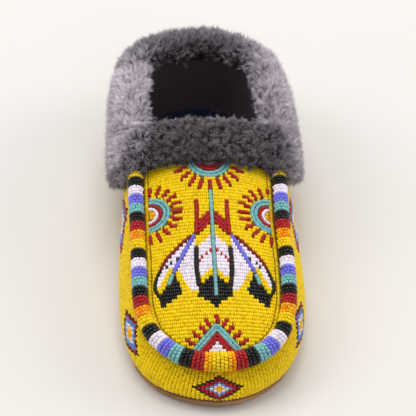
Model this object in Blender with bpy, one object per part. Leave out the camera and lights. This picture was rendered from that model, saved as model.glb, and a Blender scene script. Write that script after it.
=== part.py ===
"""A beaded slipper moccasin for the left foot, as five solids.

A leather outsole, an insole, one hollow upper, the raised roll round its apron and a fur cuff
folded out over its collar. +Z is up, the toe points to -Y and the heel to +Y, and the medial
side is at -X. The origin is on the floor, in the middle of the sole's length.
Lengths are in millimetres until make_object turns them into metres.
"""

import math
from collections import namedtuple

import bmesh
import bpy
import numpy as np
from mathutils import Vector

MM = 0.001  # metres in a millimetre

# Thicknesses and clearances
GAP = 0.3  # between pieces that touch
CUFF_GAP = 0.75  # under the cuff, whose flat faces span the shoulder of the upper
WALL = 3.2  # leather, lining and the beads sewn on
SOLE_THICKNESS = 4.0
SOLE_MARGIN = 0.8  # the sole's edge stands this far outside the foot of the wall
SOLE_BEVELS = (1.2, 0.6)  # along its lower edge and its upper one
INSOLE_THICKNESS = 5.0
INSOLE_CLEARANCE = 0.5
INSOLE_BEVEL = (1.0, 1.2)  # in from its top edge, and down from it

# Underside of the sole, along Y
TOE_SPRING = 2.0
SPRING_FROM_Y = -92.0
TOE_Y = -132.0
ARCH_RISE = 1.5
ARCH_Y = (14.0, 58.0)

# The normal turns at the seam over this much reach, and at the throat over this many rows
SEAM_FADE = 0.14
THROAT_FADE = 0.45
POINT_ROWS = 0.3  # of the apron's point, whose normal is read behind it
JUST_PAST = 1e-6  # of reach, to stand on the apron and not on the seam

# The wall is a cubic curve from the sole to the seam, and these are its handles' heights
LOW_HANDLE = 0.30
HIGH_HANDLE = 0.26

# The roll's section
ROLL_SIDE_RADIUS = 4.5
ROLL_TOE_RADIUS = 5.1
ROLL_LIFT = 0.62  # of its radius, from the seam to its middle
ROLL_SEAT = 0.6  # of its radius, how far it sits down on each side of the seam
ROLL_END_ROW = 7.06
ROLL_ANGLES = range(-30, 211, 24)  # degrees over its round side, from the wall to the apron
ROLL_STEPS = 27  # stations a side

# Mesh density
FRONT_STEPS = 22  # stations a side from the toe to the throat
BACK_STEPS = 16  # stations a side from the throat to the heel
SOLE_STATIONS = (18, 13)  # the same for the outsole and the insole
WALL_STEPS = 8
PLUG_STEPS = 12
FOLD_STEPS = 3  # cuff stations between two rows of FOLDS

# Sections of the last, from the toe to the heel. foot is the edge of the sole, and top is the
# seam of the apron and then the edge of the collar. in_ and out are the half widths on the
# medial and the lateral side, low and high are how far the wall's handles stand out, and
# crown is the height of the apron's middle above its two seams.
Section = namedtuple("Section", "foot_y foot_in foot_out top_y top_in top_out top_z low high crown")
SECTIONS = (
    Section(-132.0, 0.0, 0.0, -119.5, 0.0, 0.0, 23.6, 6.5, 7.0, 0.0),
    Section(-129.3, 16.0, 14.0, -118.2, 12.5, 11.5, 23.8, 6.5, 7.0, 0.4),
    Section(-121.5, 31.5, 27.5, -113.0, 24.5, 24.0, 25.2, 7.0, 7.5, 1.4),
    Section(-109.0, 42.0, 38.8, -102.3, 35.3, 34.0, 28.2, 7.5, 8.5, 3.2),
    Section(-92.0, 48.0, 46.0, -88.0, 40.3, 38.6, 32.2, 8.0, 9.5, 5.2),
    Section(-65.0, 51.0, 51.5, -64.0, 41.5, 39.9, 38.6, 7.5, 11.0, 6.8),
    Section(-35.0, 50.7, 52.2, -35.0, 42.0, 38.9, 46.4, 7.0, 12.0, 8.2),
    Section(-5.0, 48.6, 51.2, -5.0, 42.4, 39.0, 54.0, 7.0, 11.5, 9.4),
    Section(28.0, 46.5, 49.2, 28.0, 42.6, 39.6, 60.0, 7.0, 8.0, 10.2),
    Section(60.0, 44.0, 46.0, 60.0, 42.3, 39.4, 60.5, 7.0, 5.5, 0.0),
    Section(90.0, 41.5, 42.5, 90.0, 41.5, 38.5, 58.0, 6.5, 4.5, 0.0),
    Section(113.0, 35.0, 34.5, 111.5, 37.2, 34.0, 56.0, 6.0, 3.5, 0.0),
    Section(126.5, 19.5, 18.5, 124.0, 23.5, 20.5, 55.5, 5.5, 3.0, 0.0),
    Section(131.0, 0.0, 0.0, 128.5, 0.0, 0.0, 55.5, 5.5, 3.0, 0.0),
)
HEEL_ROW = len(SECTIONS) - 1
THROAT_ROW = 8
TURN = 2 * HEEL_ROW  # rows once round: the medial side's count down to the toe again

# The cuff, from the heel to the middle of the throat. row counts along SECTIONS, and reach is
# 0 at the wall's foot, 1 at the top line and 2 at the apron's middle. The fur stands out from
# the skin by out, and beyond the edge of the collar by over.
Fold = namedtuple("Fold", "rim_row rim_reach hem_row hem_reach out over")
FOLDS = (
    Fold(13.0, 1.00, 13.0, 0.42, 17.0, 11.5),
    Fold(12.0, 1.00, 12.0, 0.42, 15.5, 11.0),
    Fold(11.0, 1.00, 11.0, 0.42, 14.5, 11.0),
    Fold(10.0, 1.00, 10.0, 0.41, 14.5, 11.5),
    Fold(9.40, 1.00, 9.30, 0.41, 14.5, 11.5),
    Fold(8.80, 1.00, 8.65, 0.42, 14.0, 11.0),
    Fold(8.40, 1.00, 8.05, 0.48, 13.0, 10.5),
    Fold(8.12, 1.00, 7.60, 0.64, 12.0, 9.5),
    Fold(8.00, 1.06, 7.34, 0.92, 11.0, 8.5),
    Fold(8.00, 1.25, 7.28, 1.18, 10.5, 8.0),
    Fold(8.00, 1.50, 7.26, 1.46, 10.0, 8.0),
    Fold(8.00, 1.75, 7.26, 1.74, 10.0, 8.0),
    Fold(8.00, 2.00, 7.26, 2.00, 10.0, 8.0),
)
# Height of the fur, as a share of out, at shares of the way from the collar's edge to the hem
FUR_HEIGHTS = ((0.82, 0.86), (0.55, 0.95), (0.27, 1.0), (0.04, 1.0))
RIM_ANGLES = (35, 68, 100)  # degrees over the edge of the collar
BACK_SHARES = (0.12, 0.3, 0.5, 0.75, 1.0)  # of the way down to the hem, under the fur
LIP_IN = 3.0  # how far the fur hangs in past the lining
LIP_DOWN = 3.5
HEM_DROP = 3.0  # how far the fur hangs past the hem of its leather
LOCK_LIFT = (1.0, 3.4)  # height of the fur's locks
LOCK_SWEEP = 1.3  # how far a lock's tip strays to any side
LOCK_SAG = 1.6  # how far it hangs, where the fur stands out level

COLOURS = {  # base colour, roughness
    "outsole": ((0.42, 0.20, 0.08), 0.7),
    "insole": ((0.012, 0.016, 0.035), 0.95),
    "upper": ((0.86, 0.60, 0.01), 0.35),
    "roll": ((0.80, 0.30, 0.02), 0.3),
    "fur_cuff": ((0.16, 0.14, 0.16), 0.95),
}


def ring_of(inner, outer, mirror_sign):
    """Values once round the shoe: toe, lateral side, heel, then the medial side."""
    lateral = list(outer)
    medial = [mirror_sign * value for value in inner[HEEL_ROW - 1 : 0 : -1]]
    return lateral + medial


def column(name):
    return [getattr(section, name) for section in SECTIONS]


RING = np.array(
    [
        ring_of(column("foot_in"), column("foot_out"), -1),
        ring_of(column("foot_y"), column("foot_y"), 1),
        ring_of(column("top_in"), column("top_out"), -1),
        ring_of(column("top_y"), column("top_y"), 1),
        ring_of(column("top_z"), column("top_z"), 1),
        ring_of(column("low"), column("low"), 1),
        ring_of(column("high"), column("high"), 1),
        ring_of(column("crown"), column("crown"), 1),
    ]
).T
FOOT_X, FOOT_Y, TOP_X, TOP_Y, TOP_Z, LOW, HIGH, CROWN = range(8)


def row_spans():
    """Mean distance between neighbouring rows, the same on both sides so that they pair up."""
    following = np.roll(RING, -1, axis=0)
    foot = np.linalg.norm(following[:, :2] - RING[:, :2], axis=1)
    top = np.linalg.norm(following[:, 2:5] - RING[:, 2:5], axis=1)
    spans = (foot + top) / 2
    return (spans + spans[::-1]) / 2


SPANS = row_spans()


def ring_slopes():
    """Slope of each column at each row, for a smooth curve through unevenly spaced rows."""
    before, after = np.roll(SPANS, 1)[:, None], SPANS[:, None]
    rise_before = (RING - np.roll(RING, 1, axis=0)) / before
    rise_after = (np.roll(RING, -1, axis=0) - RING) / after
    return (after * rise_before + before * rise_after) / (before + after)


SLOPES = ring_slopes()


def around(row):
    """(values, slopes) of the columns at any row, by cubic Hermite interpolation."""
    row = row % TURN
    start = int(row)
    end = (start + 1) % TURN
    f, span = row - start, SPANS[start]
    values = (
        (2 * f**3 - 3 * f**2 + 1) * RING[start]
        + (f**3 - 2 * f**2 + f) * span * SLOPES[start]
        + (3 * f**2 - 2 * f**3) * RING[end]
        + (f**3 - f**2) * span * SLOPES[end]
    )
    slopes = (
        (6 * f**2 - 6 * f) / span * (RING[start] - RING[end])
        + (3 * f**2 - 4 * f + 1) * SLOPES[start]
        + (3 * f**2 - 2 * f) * SLOPES[end]
    )
    return values, slopes


def unit(vector):
    return vector / np.linalg.norm(vector)


def outward(slope_x, slope_y):
    """Level direction away from the shoe, for a line that runs round it anticlockwise."""
    return unit(np.array([slope_y, -slope_x, 0.0]))


def tread_z(y):
    """Height of the sole's underside: flat at heel and forefoot, sprung at the toe."""
    if y < SPRING_FROM_Y:
        return TOE_SPRING * ((SPRING_FROM_Y - y) / (SPRING_FROM_Y - TOE_Y)) ** 2
    if ARCH_Y[0] < y < ARCH_Y[1]:
        along = (y - ARCH_Y[0]) / (ARCH_Y[1] - ARCH_Y[0])
        return ARCH_RISE * math.sin(math.pi * along) ** 2
    return 0.0


def sole_edge(row, inset):
    """A point inside the sole's edge by inset, at the height of its underside."""
    values, slopes = around(row)
    x, y = values[[FOOT_X, FOOT_Y]] - inset * outward(*slopes[[FOOT_X, FOOT_Y]])[:2]
    return np.array([x, y, tread_z(y)])


def top_line(row):
    return around(row)[0][[TOP_X, TOP_Y, TOP_Z]]


def wall(row, reach):
    """The upper's outer face from the sole (reach 0) to its top line (reach 1)."""
    values, slopes = around(row)
    foot = sole_edge(row, SOLE_MARGIN) + [0, 0, SOLE_THICKNESS + GAP]
    top = values[[TOP_X, TOP_Y, TOP_Z]]
    up = np.array([0, 0, top[2] - foot[2]])
    low = foot + LOW_HANDLE * up + values[LOW] * outward(*slopes[[FOOT_X, FOOT_Y]])
    high = top - HIGH_HANDLE * up + values[HIGH] * outward(*slopes[[TOP_X, TOP_Y]])
    left = 1 - reach
    return left**3 * foot + 3 * left**2 * reach * low + 3 * left * reach**2 * high + reach**3 * top


def plug(row, across):
    """The apron from its lateral seam (across 0) to its medial seam (across 1)."""
    seams = top_line(row), top_line(TURN - row)
    crown = around(row)[0][CROWN] * 4 * across * (1 - across)
    return seams[0] * (1 - across) + seams[1] * across + [0, 0, crown]


def skin(row, reach):
    """The upper's outer face as one surface: the wall up to reach 1, the apron up to 2."""
    row = row % TURN
    if reach <= 1:
        return wall(row, reach)
    across = (reach - 1) / 2
    return plug(row, across) if row <= HEEL_ROW else plug(TURN - row, 1 - across)


def face_normal(row, reach, side):
    """Normal of the wall (side -1) or the apron (side 1) at a point of the skin."""
    step = 0.01
    near, at = reach - step, reach
    if side > 0:  # the apron closes to a point at the toe, so its normal is read a little behind
        row = max(row, POINT_ROWS) if row <= HEEL_ROW else min(row, TURN - POINT_ROWS)
        near, at = reach, reach + JUST_PAST
    along = skin(row + step, at) - skin(row - step, at)
    up = skin(row, near + step) - skin(row, near + JUST_PAST)
    return unit(np.cross(along, up))


def fading(beyond, over):
    """1 up to a corner, and down to 0 this far beyond it."""
    return min(1.0, max(0.0, 1 - beyond / over))


def normal(row, reach):
    """Outward normal of the skin, turning smoothly from the wall to the apron at the seam."""
    if reach < 1:
        return face_normal(row, max(reach, 0.02), -1)
    from_toe = min(row % TURN, TURN - row % TURN)
    apron_row = row if from_toe <= THROAT_ROW else math.copysign(THROAT_ROW, HEEL_ROW - row % TURN)
    apron = face_normal(apron_row % TURN, reach, 1)
    on_apron = fading(from_toe - THROAT_ROW, THROAT_FADE)
    on_wall = fading(reach - 1, SEAM_FADE)
    return unit(on_apron * apron + on_wall * face_normal(row, 1, -1))


def stations(front_steps, back_steps):
    """Rows once round the shoe, evenly spaced, with one at the toe, throats and heel."""
    along = np.concatenate([[0], np.cumsum(SPANS[:HEEL_ROW])])
    front = np.linspace(0, along[THROAT_ROW], front_steps, endpoint=False)
    back = np.linspace(along[THROAT_ROW], along[HEEL_ROW], back_steps, endpoint=False)
    rows = np.interp(np.concatenate([front, back]), along, np.arange(HEEL_ROW + 1))
    return list(rows) + [float(HEEL_ROW)] + list(TURN - rows[:0:-1])


def material(name):
    colour, roughness = COLOURS[name]
    made = bpy.data.materials.new(name)
    made.use_nodes = True
    shader = made.node_tree.nodes["Principled BSDF"]
    shader.inputs["Base Color"].default_value = (*colour, 1)
    shader.inputs["Roughness"].default_value = roughness
    return made


def make_object(name, points, faces, parent):
    """One closed solid, in metres, with its normals facing out."""
    mesh = bpy.data.meshes.new(name)
    mesh.from_pydata([tuple(float(c) * MM for c in p) for p in points], [], faces)
    shape = bmesh.new()
    shape.from_mesh(mesh)
    bmesh.ops.remove_doubles(shape, verts=shape.verts, dist=0.01 * MM)
    bmesh.ops.recalc_face_normals(shape, faces=shape.faces)
    shape.to_mesh(mesh)
    shape.free()
    mesh.shade_smooth()
    mesh.set_sharp_from_angle(angle=math.radians(50))
    mesh.materials.append(material(name))
    made = bpy.data.objects.new(name, mesh)
    made.parent = parent
    bpy.context.scene.collection.objects.link(made)
    return made


def loft(rings, closed=False):
    """(points, faces) through rings of equal length: capped at both ends, or closed."""
    count = len(rings[0])
    points = [point for ring in rings for point in ring]
    faces = []
    for i in range(len(rings) if closed else len(rings) - 1):
        here, there = i * count, (i + 1) % len(rings) * count
        for j in range(count):
            k = (j + 1) % count
            faces.append((here + j, here + k, there + k, there + j))
    if not closed:
        faces.append(tuple(range(count)))
        faces.append(tuple(len(points) - count + j for j in range(count)))
    return points, faces


def slab(edges):
    """(points, faces) of a flat piece whose edge is a stack of rings round the shoe.

    The first and last ring are closed by strips from side to side, so that they can bend
    along the shoe and stay straight across it.
    """
    count = len(edges[0])
    half = count // 2
    points, faces = loft(edges)
    faces = faces[:-2]
    for start in (0, len(points) - count):
        faces.append((start, start + 1, start + count - 1))
        for i in range(1, half - 1):
            faces.append((start + i, start + i + 1, start + count - i - 1, start + count - i))
        faces.append((start + half - 1, start + half, start + half + 1))
    return points, faces


def make_outsole(parent):
    rows = stations(*SOLE_STATIONS)
    foot, brow = SOLE_BEVELS
    edge = ((foot, 0.0), (0.0, foot), (0.0, SOLE_THICKNESS - brow), (brow, SOLE_THICKNESS))
    rings = [[sole_edge(row, inset) + [0, 0, z] for row in rows] for inset, z in edge]
    make_object("outsole", *slab(rings), parent)


def inner_foot(row):
    """The foot of the wall's inner face, on the sole."""
    inside = wall(row, 0) - WALL * unit(normal(row, 0) * [1, 1, 0])
    inside[2] = tread_z(inside[1]) + SOLE_THICKNESS + GAP
    return inside


def make_insole(parent):
    rows = stations(*SOLE_STATIONS)
    bevel_in, bevel_down = INSOLE_BEVEL
    heights = (
        (0.0, 0.0),
        (0.0, INSOLE_THICKNESS - bevel_down),
        (bevel_in, INSOLE_THICKNESS),
    )
    rings = []
    for inset, z in heights:
        ring = []
        for row in rows:
            level_normal = unit(normal(row, 0) * [1, 1, 0])
            ring.append(inner_foot(row) - (INSOLE_CLEARANCE + inset) * level_normal + [0, 0, z])
        rings.append(ring)
    make_object("insole", *slab(rings), parent)


def make_upper(parent):
    """The hollow upper: its outer face, the same face moved in by WALL, and the rims between."""
    rows = stations(FRONT_STEPS, BACK_STEPS)
    count = len(rows)
    points, faces = [], []

    def add(point):
        points.append(point)
        return len(points) - 1

    def add_layer(place):
        """Grid of point numbers of one face: the wall's columns, then the apron's rows."""
        columns = [
            [add(place(row, j / WALL_STEPS)) for j in range(WALL_STEPS + 1)] for row in rows
        ]
        apron = []
        for i in range(1, FRONT_STEPS + 1):
            middle = []
            for j in range(1, PLUG_STEPS):
                across = j / PLUG_STEPS
                lateral = across <= 0.5
                row = rows[i] if lateral else TURN - rows[i]
                middle.append(add(place(row, 1 + 2 * (across if lateral else 1 - across))))
            apron.append([columns[i][-1]] + middle + [columns[count - i][-1]])
        return columns, apron

    def outer_place(row, reach):
        return skin(row, reach)

    def inner_place(row, reach):
        if reach == 0:
            return inner_foot(row)
        return skin(row, reach) - WALL * normal(row, reach)

    def close_layer(columns, apron):
        for i in range(count):
            here, there = columns[i], columns[(i + 1) % count]
            for j in range(WALL_STEPS):
                faces.append((here[j], there[j], there[j + 1], here[j + 1]))
        toe = columns[0][-1]
        for j in range(PLUG_STEPS):
            faces.append((toe, apron[0][j], apron[0][j + 1]))
        for here, there in zip(apron, apron[1:]):
            for j in range(PLUG_STEPS):
                faces.append((here[j], there[j], there[j + 1], here[j + 1]))

    outer, inner = add_layer(outer_place), add_layer(inner_place)
    close_layer(*outer)
    close_layer(*inner)

    def join(first, second):
        for i in range(len(first) - 1):
            faces.append((first[i], first[i + 1], second[i + 1], second[i]))

    feet = [[grid[0][i % count][0] for i in range(count + 1)] for grid in (outer, inner)]
    join(*feet)
    behind = range(FRONT_STEPS, count - FRONT_STEPS + 1)
    join(*[[grid[0][i][-1] for i in behind] for grid in (outer, inner)])
    join(*[grid[1][-1] for grid in (outer, inner)])
    make_object("upper", points, faces, parent)


def roll_radius(row):
    """The roll is a little thicker round the toe than along the sides."""
    from_toe = min(row % TURN, TURN - row % TURN)
    thick = max(0.0, 1 - from_toe / 4)
    return ROLL_SIDE_RADIUS + (ROLL_TOE_RADIUS - ROLL_SIDE_RADIUS) * thick


def along_skin(row, distance):
    """The point of the skin this far from the seam: down the wall if it's negative."""
    side = -1 if distance < 0 else 1
    reach, travelled, here = 1.0, 0.0, skin(row, 1)
    step = 0.002
    while travelled < abs(distance) and 0 < reach < 2:
        reach += side * step
        there = skin(row, reach)
        travelled += np.linalg.norm(there - here)
        here = there
    return here, face_normal(row, reach, side)


def roll_section(row):
    """A round roll whose underside is the upper's own face, GAP away from it."""
    radius = roll_radius(row)
    seam, up = skin(row, 1), normal(row, 1)
    run = around(row)[1][[TOP_X, TOP_Y, TOP_Z]]
    side = unit(np.cross(run, up))
    middle = seam + ROLL_LIFT * radius * up
    section = []
    for degrees in ROLL_ANGLES:
        angle = math.radians(degrees)
        section.append(middle + radius * (math.cos(angle) * side + math.sin(angle) * up))
    for share in (1.0, 0.5, -0.5, -1.0):
        if share == -0.5:
            section.append(seam + GAP * up)
        point, face = along_skin(row, share * ROLL_SEAT * radius)
        section.append(point + GAP * face)
    return section


def make_roll(parent):
    ends = [ROLL_END_ROW * i / ROLL_STEPS for i in range(1, ROLL_STEPS + 1)]
    rows = [TURN - row for row in reversed(ends)] + [0.0] + ends
    make_object("roll", *loft([roll_section(row) for row in rows]), parent)


def fold_stations():
    """Folds once round the cuff: heel, lateral side, throat, then the medial side."""
    table = np.array(FOLDS, float)
    padded = np.vstack([table[1], table, table[-2]])
    padded[0, 0], padded[0, 2] = 2 * HEEL_ROW - table[1][[0, 2]]
    padded[-1, 1], padded[-1, 3] = 4 - table[-2][[1, 3]]
    half = []
    for i in range(1, len(table)):
        a, b, c, d = padded[i - 1 : i + 3]
        for step in range(FOLD_STEPS):
            f = step / FOLD_STEPS
            half.append(
                0.5
                * (2 * b + (c - a) * f + (2 * a - 5 * b + 4 * c - d) * f**2 + (3 * b - a - 3 * c + d) * f**3)
            )
    half.append(table[-1])
    lateral = [Fold(*values) for values in half]
    medial = [
        fold._replace(rim_row=TURN - fold.rim_row, hem_row=TURN - fold.hem_row)
        for fold in lateral[-2:0:-1]
    ]
    return lateral + medial


def cuff_section(fold):
    """(section, furry): the fold's outline, and how many of its first points are fur.

    It goes from the hem out and up over the fur, round the edge of the collar into the
    shoe, and back between the fur and the upper.
    """

    def on_skin(share):
        row = fold.rim_row + (fold.hem_row - fold.rim_row) * share
        reach = fold.rim_reach + (fold.hem_reach - fold.rim_reach) * share
        return skin(row, reach), normal(row, reach)

    (rim, out), (hem, hem_out) = on_skin(0), on_skin(1)
    rise = unit(rim - on_skin(0.15)[0])
    drop = unit(hem - on_skin(0.9)[0])
    lining = rim - WALL * out
    section = [hem + HEM_DROP * drop + 0.30 * fold.out * hem_out]
    section.append(hem + 0.8 * HEM_DROP * drop + 0.66 * fold.out * hem_out)
    for share, height in FUR_HEIGHTS:
        point, up = on_skin(share)
        section.append(point + height * fold.out * up)
    for degrees in RIM_ANGLES:
        angle = math.radians(degrees)
        section.append(rim + fold.out * math.cos(angle) * out + fold.over * math.sin(angle) * rise)
    section.append(lining - 0.9 * LIP_IN * out + 0.62 * fold.over * rise)
    section.append(lining - LIP_IN * out + 0.15 * fold.over * rise)
    section.append(lining - 0.7 * LIP_IN * out - LIP_DOWN * rise)
    furry = len(section)
    section.append(lining - CUFF_GAP * out - 0.7 * LIP_DOWN * rise)
    section.append(lining - CUFF_GAP * out + CUFF_GAP * rise)
    section.append(rim + CUFF_GAP * (out + rise))
    for share in BACK_SHARES:
        point, up = on_skin(share)
        section.append(point + CUFF_GAP * up)
    return section, furry


def make_cuff(parent):
    folds = fold_stations()
    sections = [cuff_section(fold) for fold in folds]
    furry = sections[0][1]
    made = make_object("fur_cuff", *loft([section for section, _ in sections], closed=True), parent)
    add_locks(made.data, furry - 1, len(sections[0][0]))


def add_locks(mesh, furry, around_count):
    """Raises a lock of fur in the middle of each outer face, its tip swept to one side."""
    random = np.random.default_rng(7)
    shape = bmesh.new()
    shape.from_mesh(mesh)
    shape.faces.ensure_lookup_table()
    outer = [face for i, face in enumerate(shape.faces) if i % around_count < furry]
    poked = bmesh.ops.poke(shape, faces=outer)
    shape.normal_update()
    for tip in poked["verts"]:
        sweep = random.uniform(-LOCK_SWEEP, LOCK_SWEEP, 3)
        sweep[2] -= LOCK_SAG * (1 - abs(tip.normal.z))
        lift = random.uniform(*LOCK_LIFT)
        tip.co += (tip.normal * lift + Vector(sweep)) * MM
    shape.to_mesh(mesh)
    shape.free()


def main():
    for thing in list(bpy.data.objects):
        bpy.data.objects.remove(thing)
    shoe = bpy.data.objects.new("moccasin", None)
    bpy.context.scene.collection.objects.link(shoe)
    make_outsole(shoe)
    make_insole(shoe)
    make_upper(shoe)
    make_roll(shoe)
    make_cuff(shoe)


main()
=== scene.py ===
"""Looks of the beaded moccasin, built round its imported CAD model.

Glass seed beads are sewn in rows across the apron, in strings down the walls and in strings
over the roll, and a cuff of fur is folded out over the collar. The beads' crests lie on the
outer face of the CAD solids, so the surface functions of the CAD source are repeated here.
+Z is up, the toe points to -Y and the medial side is at -X. Lengths are in millimetres until
make_piece turns them into metres.
"""

import math
from collections import namedtuple

import bpy
import numpy as np
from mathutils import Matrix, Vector


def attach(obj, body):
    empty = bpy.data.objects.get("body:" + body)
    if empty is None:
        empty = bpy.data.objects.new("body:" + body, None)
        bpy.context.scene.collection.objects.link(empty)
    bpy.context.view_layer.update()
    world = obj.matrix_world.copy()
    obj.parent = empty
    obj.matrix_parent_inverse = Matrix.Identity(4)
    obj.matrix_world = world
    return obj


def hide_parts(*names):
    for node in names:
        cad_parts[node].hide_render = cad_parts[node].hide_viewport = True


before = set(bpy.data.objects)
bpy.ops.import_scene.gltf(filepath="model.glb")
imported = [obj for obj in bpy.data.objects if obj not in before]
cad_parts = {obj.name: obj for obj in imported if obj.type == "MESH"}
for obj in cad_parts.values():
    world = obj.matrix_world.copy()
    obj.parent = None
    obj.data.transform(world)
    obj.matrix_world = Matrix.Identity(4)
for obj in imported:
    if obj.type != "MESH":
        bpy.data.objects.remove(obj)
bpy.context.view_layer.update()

MM = 0.001  # metres in a millimetre

# -------- the shoe's surface

SOLE_THICKNESS = 4.0
GAP = 0.3  # between pieces that touch
SOLE_MARGIN = 0.8  # the sole's edge stands this far outside the foot of the wall
TOE_SPRING = 2.0
SPRING_FROM_Y = -92.0
TOE_Y = -132.0
ARCH_RISE = 1.5
ARCH_Y = (14.0, 58.0)
LOW_HANDLE = 0.30  # heights of the handles of the wall's curve, as shares of its own
HIGH_HANDLE = 0.26
WALL_THICKNESS = 3.2  # leather, lining and the beads sewn on
SEAM_FADE = 0.14  # the normal turns at the seam over this much reach,
THROAT_FADE = 0.45  # and at the throat over this many rows
NORMAL_STEP = 0.01  # in rows and in reach
POINT_ROWS = 0.3  # of the apron's point, whose normal is read behind it
JUST_PAST = 1e-6  # of reach, to stand on the apron and not on the seam
LOWEST_REACH = 0.02  # where the wall's normal is still read

# Sections of the last, from the toe to the heel. foot is the edge of the sole, and top is the
# seam of the apron and then the edge of the collar. in_ and out are the half widths on the
# medial and the lateral side, low and high are how far the wall's handles stand out, and
# crown is the height of the apron's middle above its two seams.
Section = namedtuple("Section", "foot_y foot_in foot_out top_y top_in top_out top_z low high crown")
SECTIONS = (
    Section(-132.0, 0.0, 0.0, -119.5, 0.0, 0.0, 23.6, 6.5, 7.0, 0.0),
    Section(-129.3, 16.0, 14.0, -118.2, 12.5, 11.5, 23.8, 6.5, 7.0, 0.4),
    Section(-121.5, 31.5, 27.5, -113.0, 24.5, 24.0, 25.2, 7.0, 7.5, 1.4),
    Section(-109.0, 42.0, 38.8, -102.3, 35.3, 34.0, 28.2, 7.5, 8.5, 3.2),
    Section(-92.0, 48.0, 46.0, -88.0, 40.3, 38.6, 32.2, 8.0, 9.5, 5.2),
    Section(-65.0, 51.0, 51.5, -64.0, 41.5, 39.9, 38.6, 7.5, 11.0, 6.8),
    Section(-35.0, 50.7, 52.2, -35.0, 42.0, 38.9, 46.4, 7.0, 12.0, 8.2),
    Section(-5.0, 48.6, 51.2, -5.0, 42.4, 39.0, 54.0, 7.0, 11.5, 9.4),
    Section(28.0, 46.5, 49.2, 28.0, 42.6, 39.6, 60.0, 7.0, 8.0, 10.2),
    Section(60.0, 44.0, 46.0, 60.0, 42.3, 39.4, 60.5, 7.0, 5.5, 0.0),
    Section(90.0, 41.5, 42.5, 90.0, 41.5, 38.5, 58.0, 6.5, 4.5, 0.0),
    Section(113.0, 35.0, 34.5, 111.5, 37.2, 34.0, 56.0, 6.0, 3.5, 0.0),
    Section(126.5, 19.5, 18.5, 124.0, 23.5, 20.5, 55.5, 5.5, 3.0, 0.0),
    Section(131.0, 0.0, 0.0, 128.5, 0.0, 0.0, 55.5, 5.5, 3.0, 0.0),
)
HEEL_ROW = len(SECTIONS) - 1
THROAT_ROW = 8
TURN = 2 * HEEL_ROW  # rows once round: the medial side's count down to the toe again


def ring_of(outer, inner=None):
    """A column once round the shoe: toe, lateral side, heel, then the medial side."""
    sign = -1 if inner else 1
    medial = SECTIONS[HEEL_ROW - 1 : 0 : -1]
    return [getattr(s, outer) for s in SECTIONS] + [sign * getattr(s, inner or outer) for s in medial]


RING = np.array(
    [ring_of("foot_out", "foot_in"), ring_of("foot_y"), ring_of("top_out", "top_in")]
    + [ring_of(name) for name in ("top_y", "top_z", "low", "high", "crown")]
).T
FOOT_X, FOOT_Y, TOP_X, TOP_Y, TOP_Z, LOW, HIGH, CROWN = range(8)
TOP = [TOP_X, TOP_Y, TOP_Z]


def row_spans():
    """Mean distance between neighbouring rows, the same on both sides so that they pair up."""
    following = np.roll(RING, -1, axis=0)
    foot = np.linalg.norm(following[:, :2] - RING[:, :2], axis=1)
    top = np.linalg.norm(following[:, 2:5] - RING[:, 2:5], axis=1)
    spans = (foot + top) / 2
    return (spans + spans[::-1]) / 2


SPANS = row_spans()


def ring_slopes():
    """Slope of each column at each row, for a smooth curve through unevenly spaced rows."""
    before, after = np.roll(SPANS, 1)[:, None], SPANS[:, None]
    rise_before = (RING - np.roll(RING, 1, axis=0)) / before
    rise_after = (np.roll(RING, -1, axis=0) - RING) / after
    return (after * rise_before + before * rise_after) / (before + after)


SLOPES = ring_slopes()


def around(row):
    """(values, slopes) of the columns at any rows, by cubic Hermite interpolation."""
    row = np.asarray(row, float) % TURN
    start = np.minimum(row.astype(int), TURN - 1)
    end = (start + 1) % TURN
    f, span = (row - start)[..., None], SPANS[start][..., None]
    values = (
        (2 * f**3 - 3 * f**2 + 1) * RING[start]
        + (f**3 - 2 * f**2 + f) * span * SLOPES[start]
        + (3 * f**2 - 2 * f**3) * RING[end]
        + (f**3 - f**2) * span * SLOPES[end]
    )
    slopes = (
        (6 * f**2 - 6 * f) / span * (RING[start] - RING[end])
        + (3 * f**2 - 4 * f + 1) * SLOPES[start]
        + (3 * f**2 - 2 * f) * SLOPES[end]
    )
    return values, slopes


def unit(vectors):
    return vectors / np.linalg.norm(vectors, axis=-1, keepdims=True)


def level_out(slopes, x, y):
    """Level direction away from the shoe, for a line that runs round it anticlockwise."""
    return unit(np.stack([slopes[..., y], -slopes[..., x], 0 * slopes[..., x]], axis=-1))


def pairs(row, other):
    """Rows, counted within one turn, and the other number, as arrays of one shape."""
    return np.broadcast_arrays(np.asarray(row, float) % TURN, np.asarray(other, float))


def tread_z(y):
    """Height of the sole's underside: flat at heel and forefoot, sprung at the toe."""
    y = np.asarray(y, float)
    spring = TOE_SPRING * (np.clip(SPRING_FROM_Y - y, 0, None) / (SPRING_FROM_Y - TOE_Y)) ** 2
    along = np.clip((y - ARCH_Y[0]) / (ARCH_Y[1] - ARCH_Y[0]), 0, 1)
    return spring + ARCH_RISE * np.sin(np.pi * along) ** 2


def sole_edge(row, inset):
    """Points inside the sole's edge by inset, at the height of its underside."""
    values, slopes = around(row)
    place = values[..., [FOOT_X, FOOT_Y]] - inset * level_out(slopes, FOOT_X, FOOT_Y)[..., :2]
    return np.concatenate([place, tread_z(place[..., 1:])], axis=-1)


def wall(row, reach):
    """The upper's outer face from the sole (reach 0) to its top line (reach 1)."""
    row, reach = pairs(row, reach)
    values, slopes = around(row)
    foot = sole_edge(row, SOLE_MARGIN) + [0, 0, SOLE_THICKNESS + GAP]
    top = values[..., TOP]
    up = (top - foot) * [0, 0, 1]
    low = foot + LOW_HANDLE * up + values[..., LOW, None] * level_out(slopes, FOOT_X, FOOT_Y)
    high = top - HIGH_HANDLE * up + values[..., HIGH, None] * level_out(slopes, TOP_X, TOP_Y)
    t = reach[..., None]
    return (1 - t) ** 3 * foot + 3 * (1 - t) ** 2 * t * low + 3 * (1 - t) * t**2 * high + t**3 * top


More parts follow.
